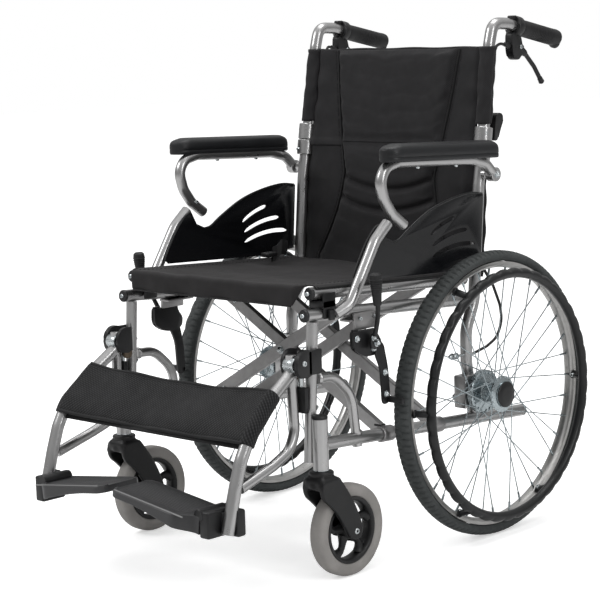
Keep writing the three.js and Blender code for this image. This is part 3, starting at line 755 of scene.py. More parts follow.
def drive_wheel(label, side):
    body = f"{label}_drive_wheel"
    centre = at(side * WHEEL_X, 0, AXLE_Z)

    def tyre(bm):
        half = 17.2
        section = []
        crown = 12
        for j in range(crown + 1):
            t = j / crown
            angle = math.pi * (t - 0.5)
            section.append((248.5 + 11.2 * math.cos(angle) ** 0.8, half * math.sin(angle)))
        section += [
            (246.0, half - 0.6), (243.5, half - 3), (241, 9.5), (241, -9.5), (243.5, 3 - half),
            (246, 0.6 - half)
        ]
        lugs = 132

        def tread(i, j):
            if 2 <= j <= 5 or 7 <= j <= 10:
                groove = (i + (2 if j > 6 else 0)) % 4
                return -2.3 if groove == 0 else 0.4
            return 0

        wheel_ring(bm, centre, section, lugs * 4, side, tread)

    piece(f"{label}_wheel_tyre", body, tyre_black, tyre, [f"{label}_drive_tyre"], 35)

    def rim(bm):
        section = [
            (240.2, -11.6), (240.2, 11.6), (234.5, 11.6), (233, 9.5), (230.5, 8.0), (229, 4),
            (228.8, 0)
        ]
        section += [(229, -4), (230.5, -8), (233, -9.5), (234.5, -11.6)]
        wheel_ring(bm, centre, section, 144, side)

    piece(f"{label}_wheel_rim", body, rim_metal, rim, [f"{label}_drive_rim"], 50)

    def hub(bm):
        axis = (side, 0, 0)
        middle = at(0, 0, AXLE_Z)
        drum = [
            (0, 246.5), (38, 246.5), (40, 248), (40, 257), (37, 259), (26, 260), (19, 262),
            (17, 266)
        ]
        drum += [
            (17, 288), (21, 293), (28, 294.5), (33, 295), (33, 298), (29, 299), (24, 301),
            (23.5, 305), (0, 305)
        ]
        lathe(bm, middle, axis, drum, 48)
        count = 36
        for i in range(count):
            rim_angle = 2 * math.pi * i / count
            outer = i % 2 == 0
            lead = (1 if i % 4 < 2 else -1) * math.radians(62)
            hub_angle = rim_angle + lead
            hub_x = side * (296.5 if outer else 258.5)
            radius = 30.5 if outer else 35
            start = at(hub_x, radius * math.cos(hub_angle), AXLE_Z + radius * math.sin(hub_angle))
            end_x = side * (WHEEL_X + (2.6 if outer else -2.6))
            end = at(end_x, 228.5 * math.cos(rim_angle), AXLE_Z + 228.5 * math.sin(rim_angle))
            sweep(bm, [start, end], 1.05, 8)
            along = (end - start).normalized()
            sweep(bm, [end - along * 0.014, end + along * 0.002], 2.0, 8)
            lathe(bm, start, axis, [(0, -2.2), (2.2, -2.2), (2.2, 2.2), (0, 2.2)], 10)

    piece(f"{label}_wheel_hub", body, spoke_metal, hub, [f"{label}_hub_and_spokes"])

    def cap(bm):
        profile = [
            (0, 303), (23, 303), (23.5, 304), (23.5, 306.5), (21.5, 308.2), (12, 308.9), (0, 309)
        ]
        lathe(bm, at(0, 0, AXLE_Z), (side, 0, 0), profile, 40)

    piece(f"{label}_hub_cap", body, black, cap)

    standoffs = 6

    def handrim(bm):
        ring_centre = at(side * HANDRIM_X, 0, AXLE_Z)
        points, waves = 20, 44
        segments = waves * 10
        section = []
        for j in range(points):
            angle = 2 * math.pi * j / points
            section.append((HANDRIM_R + 8.5 * math.cos(angle), 9.0 * math.sin(angle)))

        def grip(i, j):
            out = max(math.cos(2 * math.pi * j / points), 0) ** 0.7
            wave = abs(math.sin(math.pi * i / 10)) ** 0.8
            return 3.3 * out * (wave - 0.58)

        wheel_ring(bm, ring_centre, section, segments, side, grip)
        for i in range(standoffs):
            angle = 2 * math.pi * i / standoffs
            out = Vector((0, math.cos(angle), math.sin(angle)))
            base = at(0, 0, AXLE_Z)
            inner = base + out * 231.5 * MM + Vector((side * (WHEEL_X + 10.8) * MM, 0, 0))
            outer = base + out * (HANDRIM_R + 1) * MM + Vector((side * (HANDRIM_X - 4) * MM, 0, 0))
            sweep(bm, [inner, outer], 6.6, 16, squash=(1.0, 0.72), round_ends=1.0)
            foot = inner + (outer - inner) * 0.12
            sweep(bm, [inner, foot], 8.5, 16, squash=(1.0, 0.8), round_ends=0.8)

    piece(
        f"{label}_push_ring", body, ring_plastic, handrim, [f"{label}_handrim"]
    )

    def bolts(bm):
        for i in range(standoffs):
            angle = 2 * math.pi * i / standoffs
            out = Vector((0, math.cos(angle), math.sin(angle)))
            place = at(side * (WHEEL_X + 13.5), 0, AXLE_Z) + out * 226.5 * MM
            screw(bm, place, -out, 4.2, 3)
        sweep(bm, [at(side * 241, 0, AXLE_Z), at(side * 246.8, 0, AXLE_Z)], 8, 20)

    piece(f"{label}_push_ring_bolts", body, steel, bolts)


def blend_moulding(made, voxel, rounds):
    """Runs a piece's overlapping solids into one softly blended moulding."""
    merge = made.modifiers.new("merge", "REMESH")
    merge.mode = "VOXEL"
    merge.voxel_size = voxel * MM
    soften = made.modifiers.new("soften", "SMOOTH")
    soften.factor = 0.5
    soften.iterations = rounds
    apply_modifiers(made)
    shade_smooth(made.data)


def caster(label, side):
    swivel, wheel = f"{label}_caster_swivel", f"{label}_caster_wheel"
    x = side * CASTER_X

    def fork(bm):
        top = at(x, STEM_Y, 0)
        collar = [
            (0, 193.4), (15, 193.4), (20.4, 192.6), (21.8, 190.4), (21.2, 187.6), (18.6, 185.6),
            (18.4, 183)
        ]
        collar += [(20.6, 178), (24.2, 171), (25, 164), (0, 160)]
        lathe(bm, top, (0, 0, 1), collar, 40)
        outline = smooth_line(
            [
                (-452, 180), (-456, 164), (-451, 148), (-438, 136), (-422, 120), (-404, 94),
                (-390, 72), (-381, 66)
            ]
        )
        outline += smooth_line(
            [
                (-381, 66), (-370, 65), (-361, 73), (-359, 86), (-367, 108), (-382, 138),
                (-400, 164), (-414, 182)
            ]
        )
        for flank in (-1, 1):
            inner = x + flank * 15.6
            outer = x + flank * 24.4
            slab(bm, outline, inner, outer, 2.5, 2)
        block(bm, (x - 23.4, x + 23.4), (-456, -412), (160.5, 185), 9, 6)

    moulding = piece(
        f"{label}_fork", swivel, black, fork, [f"{label}_caster_fork"], 50
    )
    blend_moulding(moulding, 1.7, 9)

    def fork_bolts(bm):
        for flank in (-1, 1):
            screw(bm, at(x + flank * 23.2, CASTER_AXLE_Y, CASTER_R), (flank, 0, 0), 5.4, 2.2)

    piece(f"{label}_fork_bolts", swivel, steel, fork_bolts)

    centre = at(x, CASTER_AXLE_Y, CASTER_R)

    def tyre(bm):
        section = [
            (57.8, -11), (60, -13.2), (68, -14.4), (74.5, -14.2), (78.2, -11.8), (79.7, -7.5),
            (80, 0)
        ]
        section += [(r, -h) for r, h in reversed(section[:-1])]
        wheel_ring(bm, centre, section, 96)

    piece(
        f"{label}_small_tyre", wheel, caster_grey, tyre, [f"{label}_caster_tyre"],
        45
    )

    def hub(bm):
        rim = [
            (57.5, -12.5), (57.5, 12.5), (54, 12.8), (51, 11), (49.5, 4), (49.5, -4), (51, -11),
            (54, -12.8)
        ]
        wheel_ring(bm, centre, rim, 72)
        boss = [
            (4.6, -13.6), (13, -13.6), (15.5, -12), (17, -5), (17, 5), (15.5, 12), (13, 13.6),
            (4.6, 13.6)
        ]
        wheel_ring(bm, centre, boss, 40)
        for i in range(5):
            turn = 2 * math.pi * (i + 0.2) / 5
            stations, widths = [], []
            for k in range(7):
                t = k / 6
                radius = 14 + 38.5 * t
                lean = turn + 0.24 * math.sin(math.pi * t)
                stations.append(
                    centre + Vector((0, radius * math.cos(lean), radius * math.sin(lean))) * MM
                )
                widths.append(7.4 + 5.5 * (2 * t - 1) ** 2)
            sweep(bm, stations, widths, 16, squash=(0.75, 0.85))

    piece(f"{label}_small_hub", wheel, black, hub, [f"{label}_caster_hub"], 50)


# ---- Parking brakes ----------------------------------------------------------------------

def parking_brake(label, side):
    frame_body = f"{label}_frame"
    handle, arm = f"{label}_parking_brake_handle", f"{label}_parking_brake_arm"

    def clamp(bm):
        block(bm, (side * 240, side * 245.4), (-334, -280), (416, 446), 2)
        block(
            bm, (side * 216.4, side * 241), (-340, -276),
            (upper_rail_z(-308) - 15.5, upper_rail_z(-308) - 11.4), 1
        )

    piece(f"{label}_brake_clamp", frame_body, grey_coat_and_painted_shade, clamp)

    def bracket(bm):
        outline = smooth_line(
            [
                (-348, 416), (-349, 396), (-344, 384), (-322, 372), (-296, 371), (-281, 378),
                (-279, 394), (-288, 406), (-290, 416)
            ],
            4
        )
        slab(bm, outline, side * 246.4, side * 249.4, 0.8)
        slab(bm, outline, side * 253, side * 256, 0.8)
        block(bm, (side * 248, side * 254.4), (-348, -334), (388, 420), 2)

    piece(
        f"{label}_brake_bracket", frame_body, black_satin, bracket,
        [f"{label}_parking_brake_bracket"]
    )

    def bolts(bm):
        for y, z in ((-341, 404), (-300, 381)):
            nut(bm, at(side * 256, y, z), (side, 0, 0), 4.6, 4)

    piece(f"{label}_brake_bolts", frame_body, steel, bolts)

    y, z = -307, 394

    def lever(bm):
        slab(
            bm,
            smooth_line(
                [
                    (y - 12, z - 8), (y - 14, z + 8), (y - 8, z + 18), (y + 6, z + 14), (y + 10, z),
                    (y + 4, z - 10), (y - 12, z - 8)
                ],
                4
            )[:-1],
            side * 266, side * 270, 0.8
        )
        points = [
            (side * 268, y - 4, z + 4), (side * 284, y - 12, z + 40), (side * 296, y - 23, z + 66),
            (side * 298, y - 27, z + 84)
        ]
        bent(bm, points, 4.2, 30, 16)

    piece(
        f"{label}_brake_lever", handle, black_satin, lever,
        [f"{label}_parking_brake_lever"]
    )

    def lever_grip(bm):
        base = at(side * 298, y - 26.5, z + 70)
        tip = at(side * 298, y - 30, z + 125.6)
        spots = [0, 0.04, 0.1, 0.4, 0.66, 0.85, 0.94, 0.985, 1]
        radii = [6.2, 7.2, 7.4, 8.6, 10.2, 10.8, 10.0, 7.0, 2.0]
        sweep(bm, [base.lerp(tip, t) for t in spots], radii, 24)
        for k in range(7):
            t = 0.38 + 0.07 * k
            radius = 8.5 + 3.0 * (t - 0.38) / 0.4
            lathe(
                bm, base.lerp(tip, t), tip - base,
                [(radius - 1, -0.9), (radius + 0.5, 0), (radius - 1, 0.9)], 24
            )

    piece(f"{label}_brake_lever_grip", handle, rubber, lever_grip)

    def pivots(bm):
        nut(bm, at(side * 270.4, y, z), (side, 0, 0), 5.2, 4.6)
        nut(bm, at(side * 270.4, y - 8, z + 10), (side, 0, 0), 4.2, 4)

    piece(f"{label}_brake_lever_nuts", handle, steel, pivots)

    def shoe(bm):
        outline = [
            (-303, 391), (-283, 391), (-276, 372), (-269.5, 340), (-267, 300), (-268, 287),
            (-276, 283), (-284, 286)
        ]
        outline += [(-286, 310), (-289, 345), (-300, 372)]
        slab(bm, closed_line(outline), side * 257.4, side * 262, 0.8)
        block(bm, (side * 257.4, side * 296), (-274.6, -265.6), (285, 296), 2)

    piece(
        f"{label}_brake_shoe_arm", arm, black_satin, shoe,
        [f"{label}_parking_brake_shoe"]
    )

    def shoe_bolts(bm):
        for by, bz in ((-278, 338), (-276, 300)):
            nut(bm, at(side * 262, by, bz), (side, 0, 0), 5, 3.6)

    piece(f"{label}_brake_shoe_nuts", arm, steel, shoe_bolts)


# ---- Armrests ----------------------------------------------------------------------------

def armrest(label, side):
    body = f"{label}_armrest"
    x = side * ARMREST_X

    def bow(bm):
        points = [
            (x, -209, 585), (x, -239, 606), (x, -259, 633), (x, -268, 665), (x, -254, 688),
            (x, -222, 695), (x, -22, 686), (x, 18, 676), (x, 41, 654),
        ]
        bent(bm, points, 10, 40, round_ends=1.0)
        sweep(bm, [at(x - side * 8.5, 41, 654), at(x + side * 8.5, 41, 654)], 13, 28, round_ends=1)

    piece(f"{label}_arm_tube", body, silver, bow, [f"{label}_armrest_tube"])

    def fittings(bm):
        nut(bm, at(x + side * 8.5, 41, 654), (side, 0, 0), 5.4, 4)
        for y in (-168, -64):
            screw(bm, at(x, y, 695.2 - (y + 222) * 0.045 - 10), (0, 0, -1), 3.6)
        screw(bm, at(x - side * 9.8, -235, 607), (-side, 0, 0), 3.6)

    piece(f"{label}_arm_fittings", body, steel, fittings)

    def pad(bm):
        cx = side * PAD_X
        rows = []
        # Section of the pad: a flat base flange, a waist line and a crowned top.
        section = [
            (-0.86, 0), (0.86, 0), (0.98, 1.6), (1, 4.5), (0.99, 7.4), (0.955, 8.4), (1, 9.6),
            (1.0, 15.5), (0.965, 21.5)
        ]
        section += [(0.87, 26), (0.7, 29), (0.45, 30.6), (0.2, 31.2)]
        section += [(-w, h) for w, h in reversed(section[2:])]
        stations = 44
        front, rear = -271.5, 26.5
        for i in range(stations + 1):
            s = math.cos(math.pi * i / stations)
            y = (front + rear) / 2 - (rear - front) / 2 * s
            near = min(y - front, (rear - y) * 1.6)
            wide = 23.0 * min(1, math.sqrt(max(1 - (1 - min(near / 26, 1)) ** 2, 0)) + 0.001)
            crown = min(1, 0.45 + 0.55 * math.sqrt(min(near / 30, 1)))
            base = 698.6 - (y - front) * 0.040
            row = []
            for w, h in section:
                lift = h if h < 9.6 else 9.6 + (h - 9.6) * crown
                row.append(bm.verts.new(at(cx + w * wide, y, base + lift)))
            rows.append(row)
        ring_faces(bm, rows)
        bm.faces.new(list(reversed(rows[0])))
        bm.faces.new(rows[-1])

    made = piece(f"{label}_arm_cushion", body, pad_skin, pad, [f"{label}_arm_pad"], 60)


# ---- Upper back: canes, grips and attendant brakes ---------------------------------------

def upper_back(label, side):
    body, lever_body, latch_body = f"{label}_upper_back", f"{label}_hand_lever", f"{label}_latch"
    gx, cx = side * GRIP_X, side * CANE_X

    def cane(bm):
        points = [
            (cx, 51, FOLD_Z + 1.5), (gx, 79, 888), (gx, 90, 925), (gx, 130, 923.5), (gx, 279, 893)
        ]
        bent(bm, points, TUBE_R, 40)
        sweep(bm, [at(cx, 49.5, FOLD_Z + 0.6), at(cx, 54.5, 738)], 16.6, 32, round_ends=1.2)

    piece(f"{label}_cane", body, silver, cane, [f"{label}_back_cane"])

    start, end = at(gx, 163, 916.7), at(gx, 282, 892.4)
    along = (end - start).normalized()

    def grip(bm):
        spots = [0.0, 0.02, 0.1, 0.3, 0.55, 0.8, 0.93, 0.985, 1.0]
        radii = [13.6, 15.2, 15.6, 15.2, 14.8, 15.4, 16.2, 15.4, 11.0]
        sweep(bm, [start.lerp(end, t) for t in spots], radii, 32)
        # The lip under the grip's end stops the hand sliding off.
        tip = start.lerp(end, 0.93) - Vector((0, 0, 0.008))
        sweep(
            bm, [tip - along * 0.006, tip, tip + along * 0.006, tip + along * 0.0085],
            [8, 11.5, 11.5, 8], 24
        )
        for k in range(16):
            t = 0.2 + 0.04 * k
            lathe(bm, start.lerp(end, t), along, [(14.2, -1.0), (15.7, 0), (14.2, 1.0)], 32)

    piece(f"{label}_handle", body, rubber, grip, [f"{label}_push_grip"])

    def perch(bm):
        ring = start - along * 0.006
        lathe(
            bm, ring, along,
            [(11.3, -8), (18.0, -8), (19.2, -6.5), (19.2, 6.5), (18.0, 8), (11.3, 8)], 36,
            closed=True
        )
        outline = [
            (138, 905), (146, 908), (160, 904), (166, 890), (168, 872), (160, 858), (146, 858),
            (139, 868), (137, 886)
        ]
        slab(bm, closed_line(outline), gx - 8.5, gx + 8.5, 2.4, 3)
        sweep(bm, [at(gx, 141, 882), at(gx, 124, 886.5)], [5.5, 4], 16, round_ends=0.6)
        block(bm, (gx - 6, gx + 6), (140, 156), (928, 938), 2.5)

    piece(f"{label}_brake_perch", body, black, perch)

    def rivets(bm):
        for flank in (-1, 1):
            screw(bm, at(gx + flank * 8.6, 163, 880), (flank, 0, 0), 4, 1.6)
        for z in (728, 689):
            screw(bm, at(cx + side * 13, 45, z), (side, -0.8, 0), 3.2, 2)

    piece(f"{label}_cane_rivets", body, steel, rivets)

    def lever(bm):
        points = [
            (gx, 162, 883), (gx, 172, 876), (gx, 186, 866), (gx, 212, 842), (gx, 229, 820),
            (gx, 236, 811)
        ]
        stations = rounded([at(*p) for p in points], 40, 4)
        count = len(stations)
        radii = [9.5 - 5.0 * min(i / (count * 0.45), 1) for i in range(count)]
        radii[-2:] = [5.4, 5.8]
        sweep(bm, stations, radii, 20, squash=(0.82, 1.0), round_ends=2)
        sweep(bm, [at(gx, 232, 816), at(gx, 236.5, 810.4)], [5.6, 5.6], 20, round_ends=2.4)

    piece(
        f"{label}_brake_hand_lever", lever_body, black, lever,
        [f"{label}_attendant_brake_lever"]
    )

    def latch(bm):
        outline = [(74, 713), (84, 713), (92, 730), (102, 751), (98, 761), (87, 761), (79, 750)]
        slab(bm, closed_line(outline, 5), cx - 8.6, cx + 8.6, 2.6, 3)

    piece(
        f"{label}_latch_paddle", latch_body, black, latch, [f"{label}_back_latch"]
    )


# ---- Leg rests ---------------------------------------------------------------------------

def leg_rest(label, side):
    body = f"{label}_frame"
    x, top = side * HANGER_X, side * HANGER_TOP_X

    def tubes(bm):
        upright = [
            (top, -468, 392), (top, -468, 340), (side * 224, -466, 262), (side * 226, -482, 232),
            (side * 231, -527, 215), (x, -606, 192),
        ]
        bent(bm, upright, 9, 46, round_ends=0.6)
        shin = [
            (top, -462, 366), (side * 226, -520, 328), (x, -579, 278), (x, -602, 238),
            (x, -617, 195), (x, -638, 122),
        ]
        bent(bm, shin, TUBE_R, 70, round_ends=0.6)

    piece(f"{label}_leg_tubes", body, silver, tubes, [f"{label}_leg_hanger"])

    def bracket(bm):
        cheek = smooth_line(
            [(-474, 360), (-477, 378), (-470, 394), (-456, 400), (-441, 398)], 5
        ) + [(-441, 356), (-452, 352), (-468, 354)]
        slab(bm, cheek, side * 236.4, side * 246, 1.6)
        slab(bm, cheek, side * 205.6, side * 212.4, 1.6)
        block(bm, (side * 239, side * 246), (-450, -417), (356, 398), 2)
        block(bm, (side * 214, side * 242), (-457, -447.4), (292, 336), 2.5)

    piece(
        f"{label}_swing_bracket", body, black, bracket, [f"{label}_hanger_bracket"]
    )

    def barrel(bm):
        lathe(
            bm, at(0, -468, 375), (side, 0, 0),
            [(0, 213), (11.6, 213), (12.4, 214), (12.4, 235), (11.6, 236), (0, 236)], 36
        )
        for k in range(30):
            angle = 2 * math.pi * k / 30
            out = Vector((0, math.cos(angle), math.sin(angle))) * 12.4 * MM
            sweep(bm, [at(side * 215, -468, 375) + out, at(side * 234, -468, 375) + out], 0.6, 6)
        sweep(bm, [at(side * 226, -450, 336), at(side * 226, -450, 362)], 4.4, 16)
        screw(bm, at(side * 246.2, -461, 378), (side, 0, 0), 5)

    piece(f"{label}_swing_barrel", body, steel, barrel)

    def bush(bm):
        lathe(
            bm, at(side * 208, -452, 352), (side, 0, 0),
            [(0, -2), (9, -2), (9.6, -1), (9.6, 5), (9, 6), (0, 6)], 28
        )

    piece(f"{label}_swing_bush", body, brass, bush)

    def foot(bm):
        # The rear cheek and the hinge block hold the tube's end between them.
        block(bm, (side * 221, side * 246), (-626, -607), (117, 162), 4, 4)
        block(bm, (side * 199, side * 221.5), (-669, -618), (118, 163), 4, 4)
        sweep(bm, [at(side * 199, -670, 156), at(side * 199, -612, 156)], 10.5, 28, round_ends=1.4)
        block(bm, (side * 216, side * 226), (-640, -612), (120, 158), 2)

    piece(f"{label}_foot_clamp", body, black, foot, [f"{label}_hanger_foot"])

    def plate_point(u, v, w):
        px, py, pz = FOOT_PIVOT
        cos, sin = math.cos(FOOT_SLOPE), math.sin(FOOT_SLOPE)
        return at(side * (px + u * cos + w * sin), py + v, pz - u * sin + w * cos)

    foot_body = f"{label}_foot_flap"

    def plate(bm):
        columns = []
        spans = 34
        for i in range(spans + 1):
            u = -4 - 190 * i / spans
            inner = min((u + 194) / 16, 1)
            outer = 1
            round_off = math.sqrt(max(1 - (1 - min(inner, outer)) ** 2, 0.0))
            front = -40 - 12 * round_off + 27 * smooth_step(-46, -4, u)
            rear = 32 + 10 * math.sqrt(max(1 - (1 - inner) ** 2, 0))
            # The front wall is deepest by the hinge and thins out towards the middle.
            deep = 6 + 19 * max(0, min(1, (u + 150) / 150)) ** 1.6
            column = [
                (front + 1.4, -deep), (front, -deep + 1.6), (front, 5),
                (front + 1.2, 6.4), (front + 8, 6.8),
                (front + 9.2, 6.0), (front + 11, 5.2), (rear - 8, 5.2),
                (rear - 6.5, 6.2), (rear - 1.4, 6.2),
                (rear, 4.8), (rear, -4.8), (rear - 1.4, -6), (front + 7, -6), (front + 6, -deep),
            ]
            columns.append([bm.verts.new(plate_point(u, v, w)) for v, w in column])
        ring_faces(bm, columns)
        bm.faces.new(list(reversed(columns[0])))
        bm.faces.new(columns[-1])

    piece(
        f"{label}_foot_plate", foot_body, foot_grey, plate, [f"{label}_footplate"],
        35
    )

    def trim(bm):
        stations = [plate_point(-18 - 168 * i / 20, -48.4, 6.7) for i in range(21)]
        sweep(bm, stations, 1.3, 8, squash=(1.0, 0.7), round_ends=0.5)

    piece(f"{label}_foot_trim", foot_body, inlay, trim)

    def ribs(bm):
        for k in range(12):
            v = -27 + 5.2 * k
            sweep(bm, [plate_point(-34, v, 4.7), plate_point(-182, v, 4.7)], 0.9, 8, round_ends=0.5)

    piece(f"{label}_foot_ribs", foot_body, foot_grey, ribs)

    def hinge(bm):
        sweep(bm, [plate_point(-5, -14, 8), plate_point(-5, 38, 8)], 9.5, 28, round_ends=1.2)

    piece(f"{label}_foot_hinge", foot_body, black, hinge)


# ---- Cross braces ------------------------------------------------------------------------

def brace(label, top, bar_ys):
    body = f"{label}_rail_brace"
    low = -top * FRAME_X

    def bars(bm):
        for y in bar_ys:
            bottom = at(low, y, lower_rail_z(y))
            upper = at(top * SEAT_RAIL_X, y, seat_rail_z(y))
            along = (upper - bottom).normalized()
            start, end = bottom + along * 0.0125, upper - along * 0.004
            across = Vector((0, 1, 0))
            normal = along.cross(across).normalized()
            rows = []
            shape = [
                (-5.5, -10.4), (-4.4, -11.5), (4.4, -11.5), (5.5, -10.4), (5.5, 10.4), (4.4, 11.5),
                (-4.4, 11.5), (-5.5, 10.4)
            ]
            for place in (start, end):
                rows.append(
                    [bm.verts.new(place + across * a * MM + normal * b * MM) for a, b in shape]
                )
            ring_faces(bm, rows)
            bm.faces.new(list(reversed(rows[0])))
            bm.faces.new(rows[-1])
            half = 15
            lathe(bm, at(low, y, lower_rail_z(y)), (0, math.cos(RAIL_ANGLE), -math.sin(RAIL_ANGLE)),
                  [
                      (11.5, -half), (13.4, -half), (14.2, -half + 1), (14.2, half - 1),
                      (13.4, half), (11.5, half)
                  ], 40, closed=True)

    # The bars take the darker grey coat as painted shade.
    piece(f"{label}_cross_bars", body, grey_coat_and_painted_shade, bars, [f"{label}_rail_brace"])

    def rail(bm):
        x = top * SEAT_RAIL_X
        bent(bm, [(x, -417, seat_rail_z(-417)), (x, -18, seat_rail_z(-18))], TUBE_R)

    piece(f"{label}_seat_rail", body, silver, rail)

    def ends(bm):
        x = top * SEAT_RAIL_X
        slope = Vector((0, -1, 0.9 * RAIL_SLOPE)).normalized()
        end_cap(bm, at(x, -417, seat_rail_z(-417)), slope)
        end_cap(bm, at(x, -18, seat_rail_z(-18)), -slope)
        # A small cover over each bar's lower weld.
        for y in bar_ys:
            block(
                bm, (low + top * 4, low + top * 20), (y - 7, y + 7),
                (lower_rail_z(y) + 12, lower_rail_z(y) + 16), 1.2
            )

    piece(f"{label}_brace_caps", body, black, ends)

    def bolt(bm):
        y = bar_ys[0]
        screw(bm, at(top * SEAT_RAIL_X, -424.6, seat_rail_z(-424)), (0, -1, 0.05), 4)
        middle = (lower_rail_z(y) + seat_rail_z(y)) / 2
        nut(bm, at(0, y - 5.4, middle), (0, -1, 0), 6, 5)
        nut(bm, at(0, bar_ys[1] + 5.4, middle), (0, 1, 0), 6, 5)
        for step in (0.17, 0.80):
            place = at(low, y - 5.4, lower_rail_z(y)).lerp(
                at(top * SEAT_RAIL_X, y - 5.4, seat_rail_z(y)), step
            )
            screw(bm, place, (0, -1, 0), 3.4, 2)

    piece(f"{label}_brace_bolts", body, steel, bolt)

# ---- Upholstery --------------------------------------------------------------------------

def grid_faces(bm, front, back):
    """The two skins of a sheet or pad, as quads over matching grids of points."""
    for j in range(len(front) - 1):
        for i in range(len(front[0]) - 1):
            bm.faces.new((front[j][i], front[j][i + 1], front[j + 1][i + 1], front[j + 1][i]))
            bm.faces.new((back[j + 1][i], back[j + 1][i + 1], back[j][i + 1], back[j][i]))


def cloth_sheet(
    name, body, material, columns, rows, surface, thickness=1.6, smooth=180, joined=False
):
    """A thickened sheet from surface(s, t) in mm, s and t in 0..1, with flat coordinates in metres.

    joined keeps the s = 0 edge at full thickness, where it runs on into the next sheet.
    """
    bm = bmesh.new()
    layer = bm.loops.layers.uv.new("cloth")
    front, back, flat = [], [], {}
    spots = [
        [
            Vector(surface(i / columns, j / rows)) for i in range(columns + 1)
        ] for j in range(rows + 1)
    ]
    for j in range(rows + 1):
        ahead, behind = [], []
        for i in range(columns + 1):
            here = spots[j][i]
            du = spots[j][min(i + 1, columns)] - spots[j][max(i - 1, 0)]
            dv = spots[min(j + 1, rows)][i] - spots[max(j - 1, 0)][i]
            normal = du.cross(dv).normalized()
            edge = min(columns - i, j, rows - j)
            if not joined:
                edge = min(edge, i)
            half = thickness / 2 * (0.45 if edge == 0 else 1)
            ahead.append(bm.verts.new(at(*(here + normal * half))))
            behind.append(bm.verts.new(at(*(here - normal * half))))
        front.append(ahead)
        back.append(behind)
    run_u = [0.0]
    middle = spots[rows // 2]
    for i in range(columns):
        run_u.append(run_u[-1] + (middle[i + 1] - middle[i]).length * MM)
    run_v = [0.0]
    for j in range(rows):
        run_v.append(run_v[-1] + (spots[j + 1][columns // 2] - spots[j][columns // 2]).length * MM)
    for grid in (front, back):
        for j in range(rows + 1):
            for i in range(columns + 1):
                flat[grid[j][i]] = (run_u[i], run_v[j])
    grid_faces(bm, front, back)
    for j in range(rows):
        bm.faces.new((front[j][0], front[j + 1][0], back[j + 1][0], back[j][0]))
        bm.faces.new((front[j + 1][-1], front[j][-1], back[j][-1], back[j + 1][-1]))
    for i in range(columns):
        bm.faces.new((front[0][i + 1], front[0][i], back[0][i], back[0][i + 1]))
        bm.faces.new((front[-1][i], front[-1][i + 1], back[-1][i + 1], back[-1][i]))
    for face in bm.faces:
        for loop in face.loops:
            loop[layer].uv = flat[loop.vert]
    made = object_of(bm, name, material, smooth)
    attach(made, body)
    return made, (run_u[-1], run_v[-1])


def ripple(x, y, z, scale, amount):
    """Soft creases, the same on each run."""
    return noise.noise(Vector((x, y, z)) * scale) * amount


def back_y(z):
    """Where the back canes' middle line stands, behind the rear axle."""
    if z < 634:
        return 16 + (z - 424) * 20 / 210
    return 36 + (z - 634) * 0.165


def waist(z):
    """Half the width of the padded middle of the back, at height z."""
    t = max(0.0, min(1.0, (z - 486) / (880 - 486)))
    low, neck, high = 168.0, 112.0, 152.0
    middle = (650 - 486) / (880 - 486)
    if t < middle:
        return neck + (low - neck) * (1 - t / middle) ** 1.7
    return neck + (high - neck) * ((t - middle) / (1 - middle)) ** 0.85


def smooth_step(low, high, value):
    t = max(0.0, min(1.0, (value - low) / (high - low)))
    return t * t * (3 - 2 * t)


def back_surface(x, z, proud=0.0):
    """The front of the back sling at (x, z): bowed by use, with creases near the canes."""
    across = abs(x) / 203
    bow = 9 * (1 - across ** 2)
    crease = ripple(x, 0, z * 0.5, 0.022, 2.6) * (0.35 + across)
    pull = 2.2 * math.sin(z * 0.11 + x * 0.02) * max(0, across - 0.75) * 3
    return back_y(z) - 3.5 + bow + crease + pull - proud


CHANNELS = (644.0, 604.0)  # heights of the two lumbar channels
CHANNEL_DEPTH = 9.0
CHANNEL_HALF = 6.0  # half the width of a channel
BACK_SEAM = 706.0  # height where the upper and lower back meet at the fold


def channel_dip(x, z):
    """Depth of the two sewn lumbar channels, which curve down in the middle."""
    dip = 0.0
    for level in CHANNELS:
        line = level - 26 * (1 - (abs(x) / 120) ** 2)
        dip += CHANNEL_DEPTH * math.exp(-(((z - line) / CHANNEL_HALF) ** 2))
    return dip * smooth_step(waist(z) + 2, waist(z) - 10, abs(x))


def rim(grid):
    """The points round a grid's edge, in order."""
    right, left = [row[-1] for row in grid[1:]], [row[0] for row in reversed(grid[1:-1])]
    return [*grid[0], *right, *reversed(grid[-1][:-1]), *left]


def padded_back(name, body, z0, z1):
    """The padded middle of the back: a closed pad blown up by cloth pressure, then sewn."""
    bm = bmesh.new()
    columns, rows = 44, max(int((z1 - z0) / 8), 8)
    front, back = [], []
    for j in range(rows + 1):
        z = z0 + (z1 - z0) * j / rows
        half = waist(z) - 2
        row_f, row_b = [], []
        for i in range(columns + 1):
            x = half * (2 * i / columns - 1)
            y = back_surface(x, z)
            row_f.append(bm.verts.new(at(x, y - 6.5, z)))
            row_b.append(bm.verts.new(at(x, y - 0.5, z)))
        front.append(row_f)
        back.append(row_b)
    grid_faces(bm, front, back)
    rim_front, rim_back = rim(front), rim(back)
    for i in range(len(rim_front)):
        k = (i + 1) % len(rim_front)
        bm.faces.new((rim_front[k], rim_front[i], rim_back[i], rim_back[k]))
    made = object_of(bm, name)
    inflate(made, cap=PAD_SWELL)
    refit(made, z0, z1)
    sew(made)
    flat_coordinates(made)
    made.data.materials.clear()
    made.data.materials.append(back_cloth)
    shade_smooth(made.data)
    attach(made, body)
    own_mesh(made)
    return made


PAD_VOXEL = 5  # mm
PAD_PRESSURE = 4.0
PAD_QUALITY = 5
PAD_FRAMES = 20
PAD_SWELL = 6.0  # the most that a point of the back's padding may move, in mm


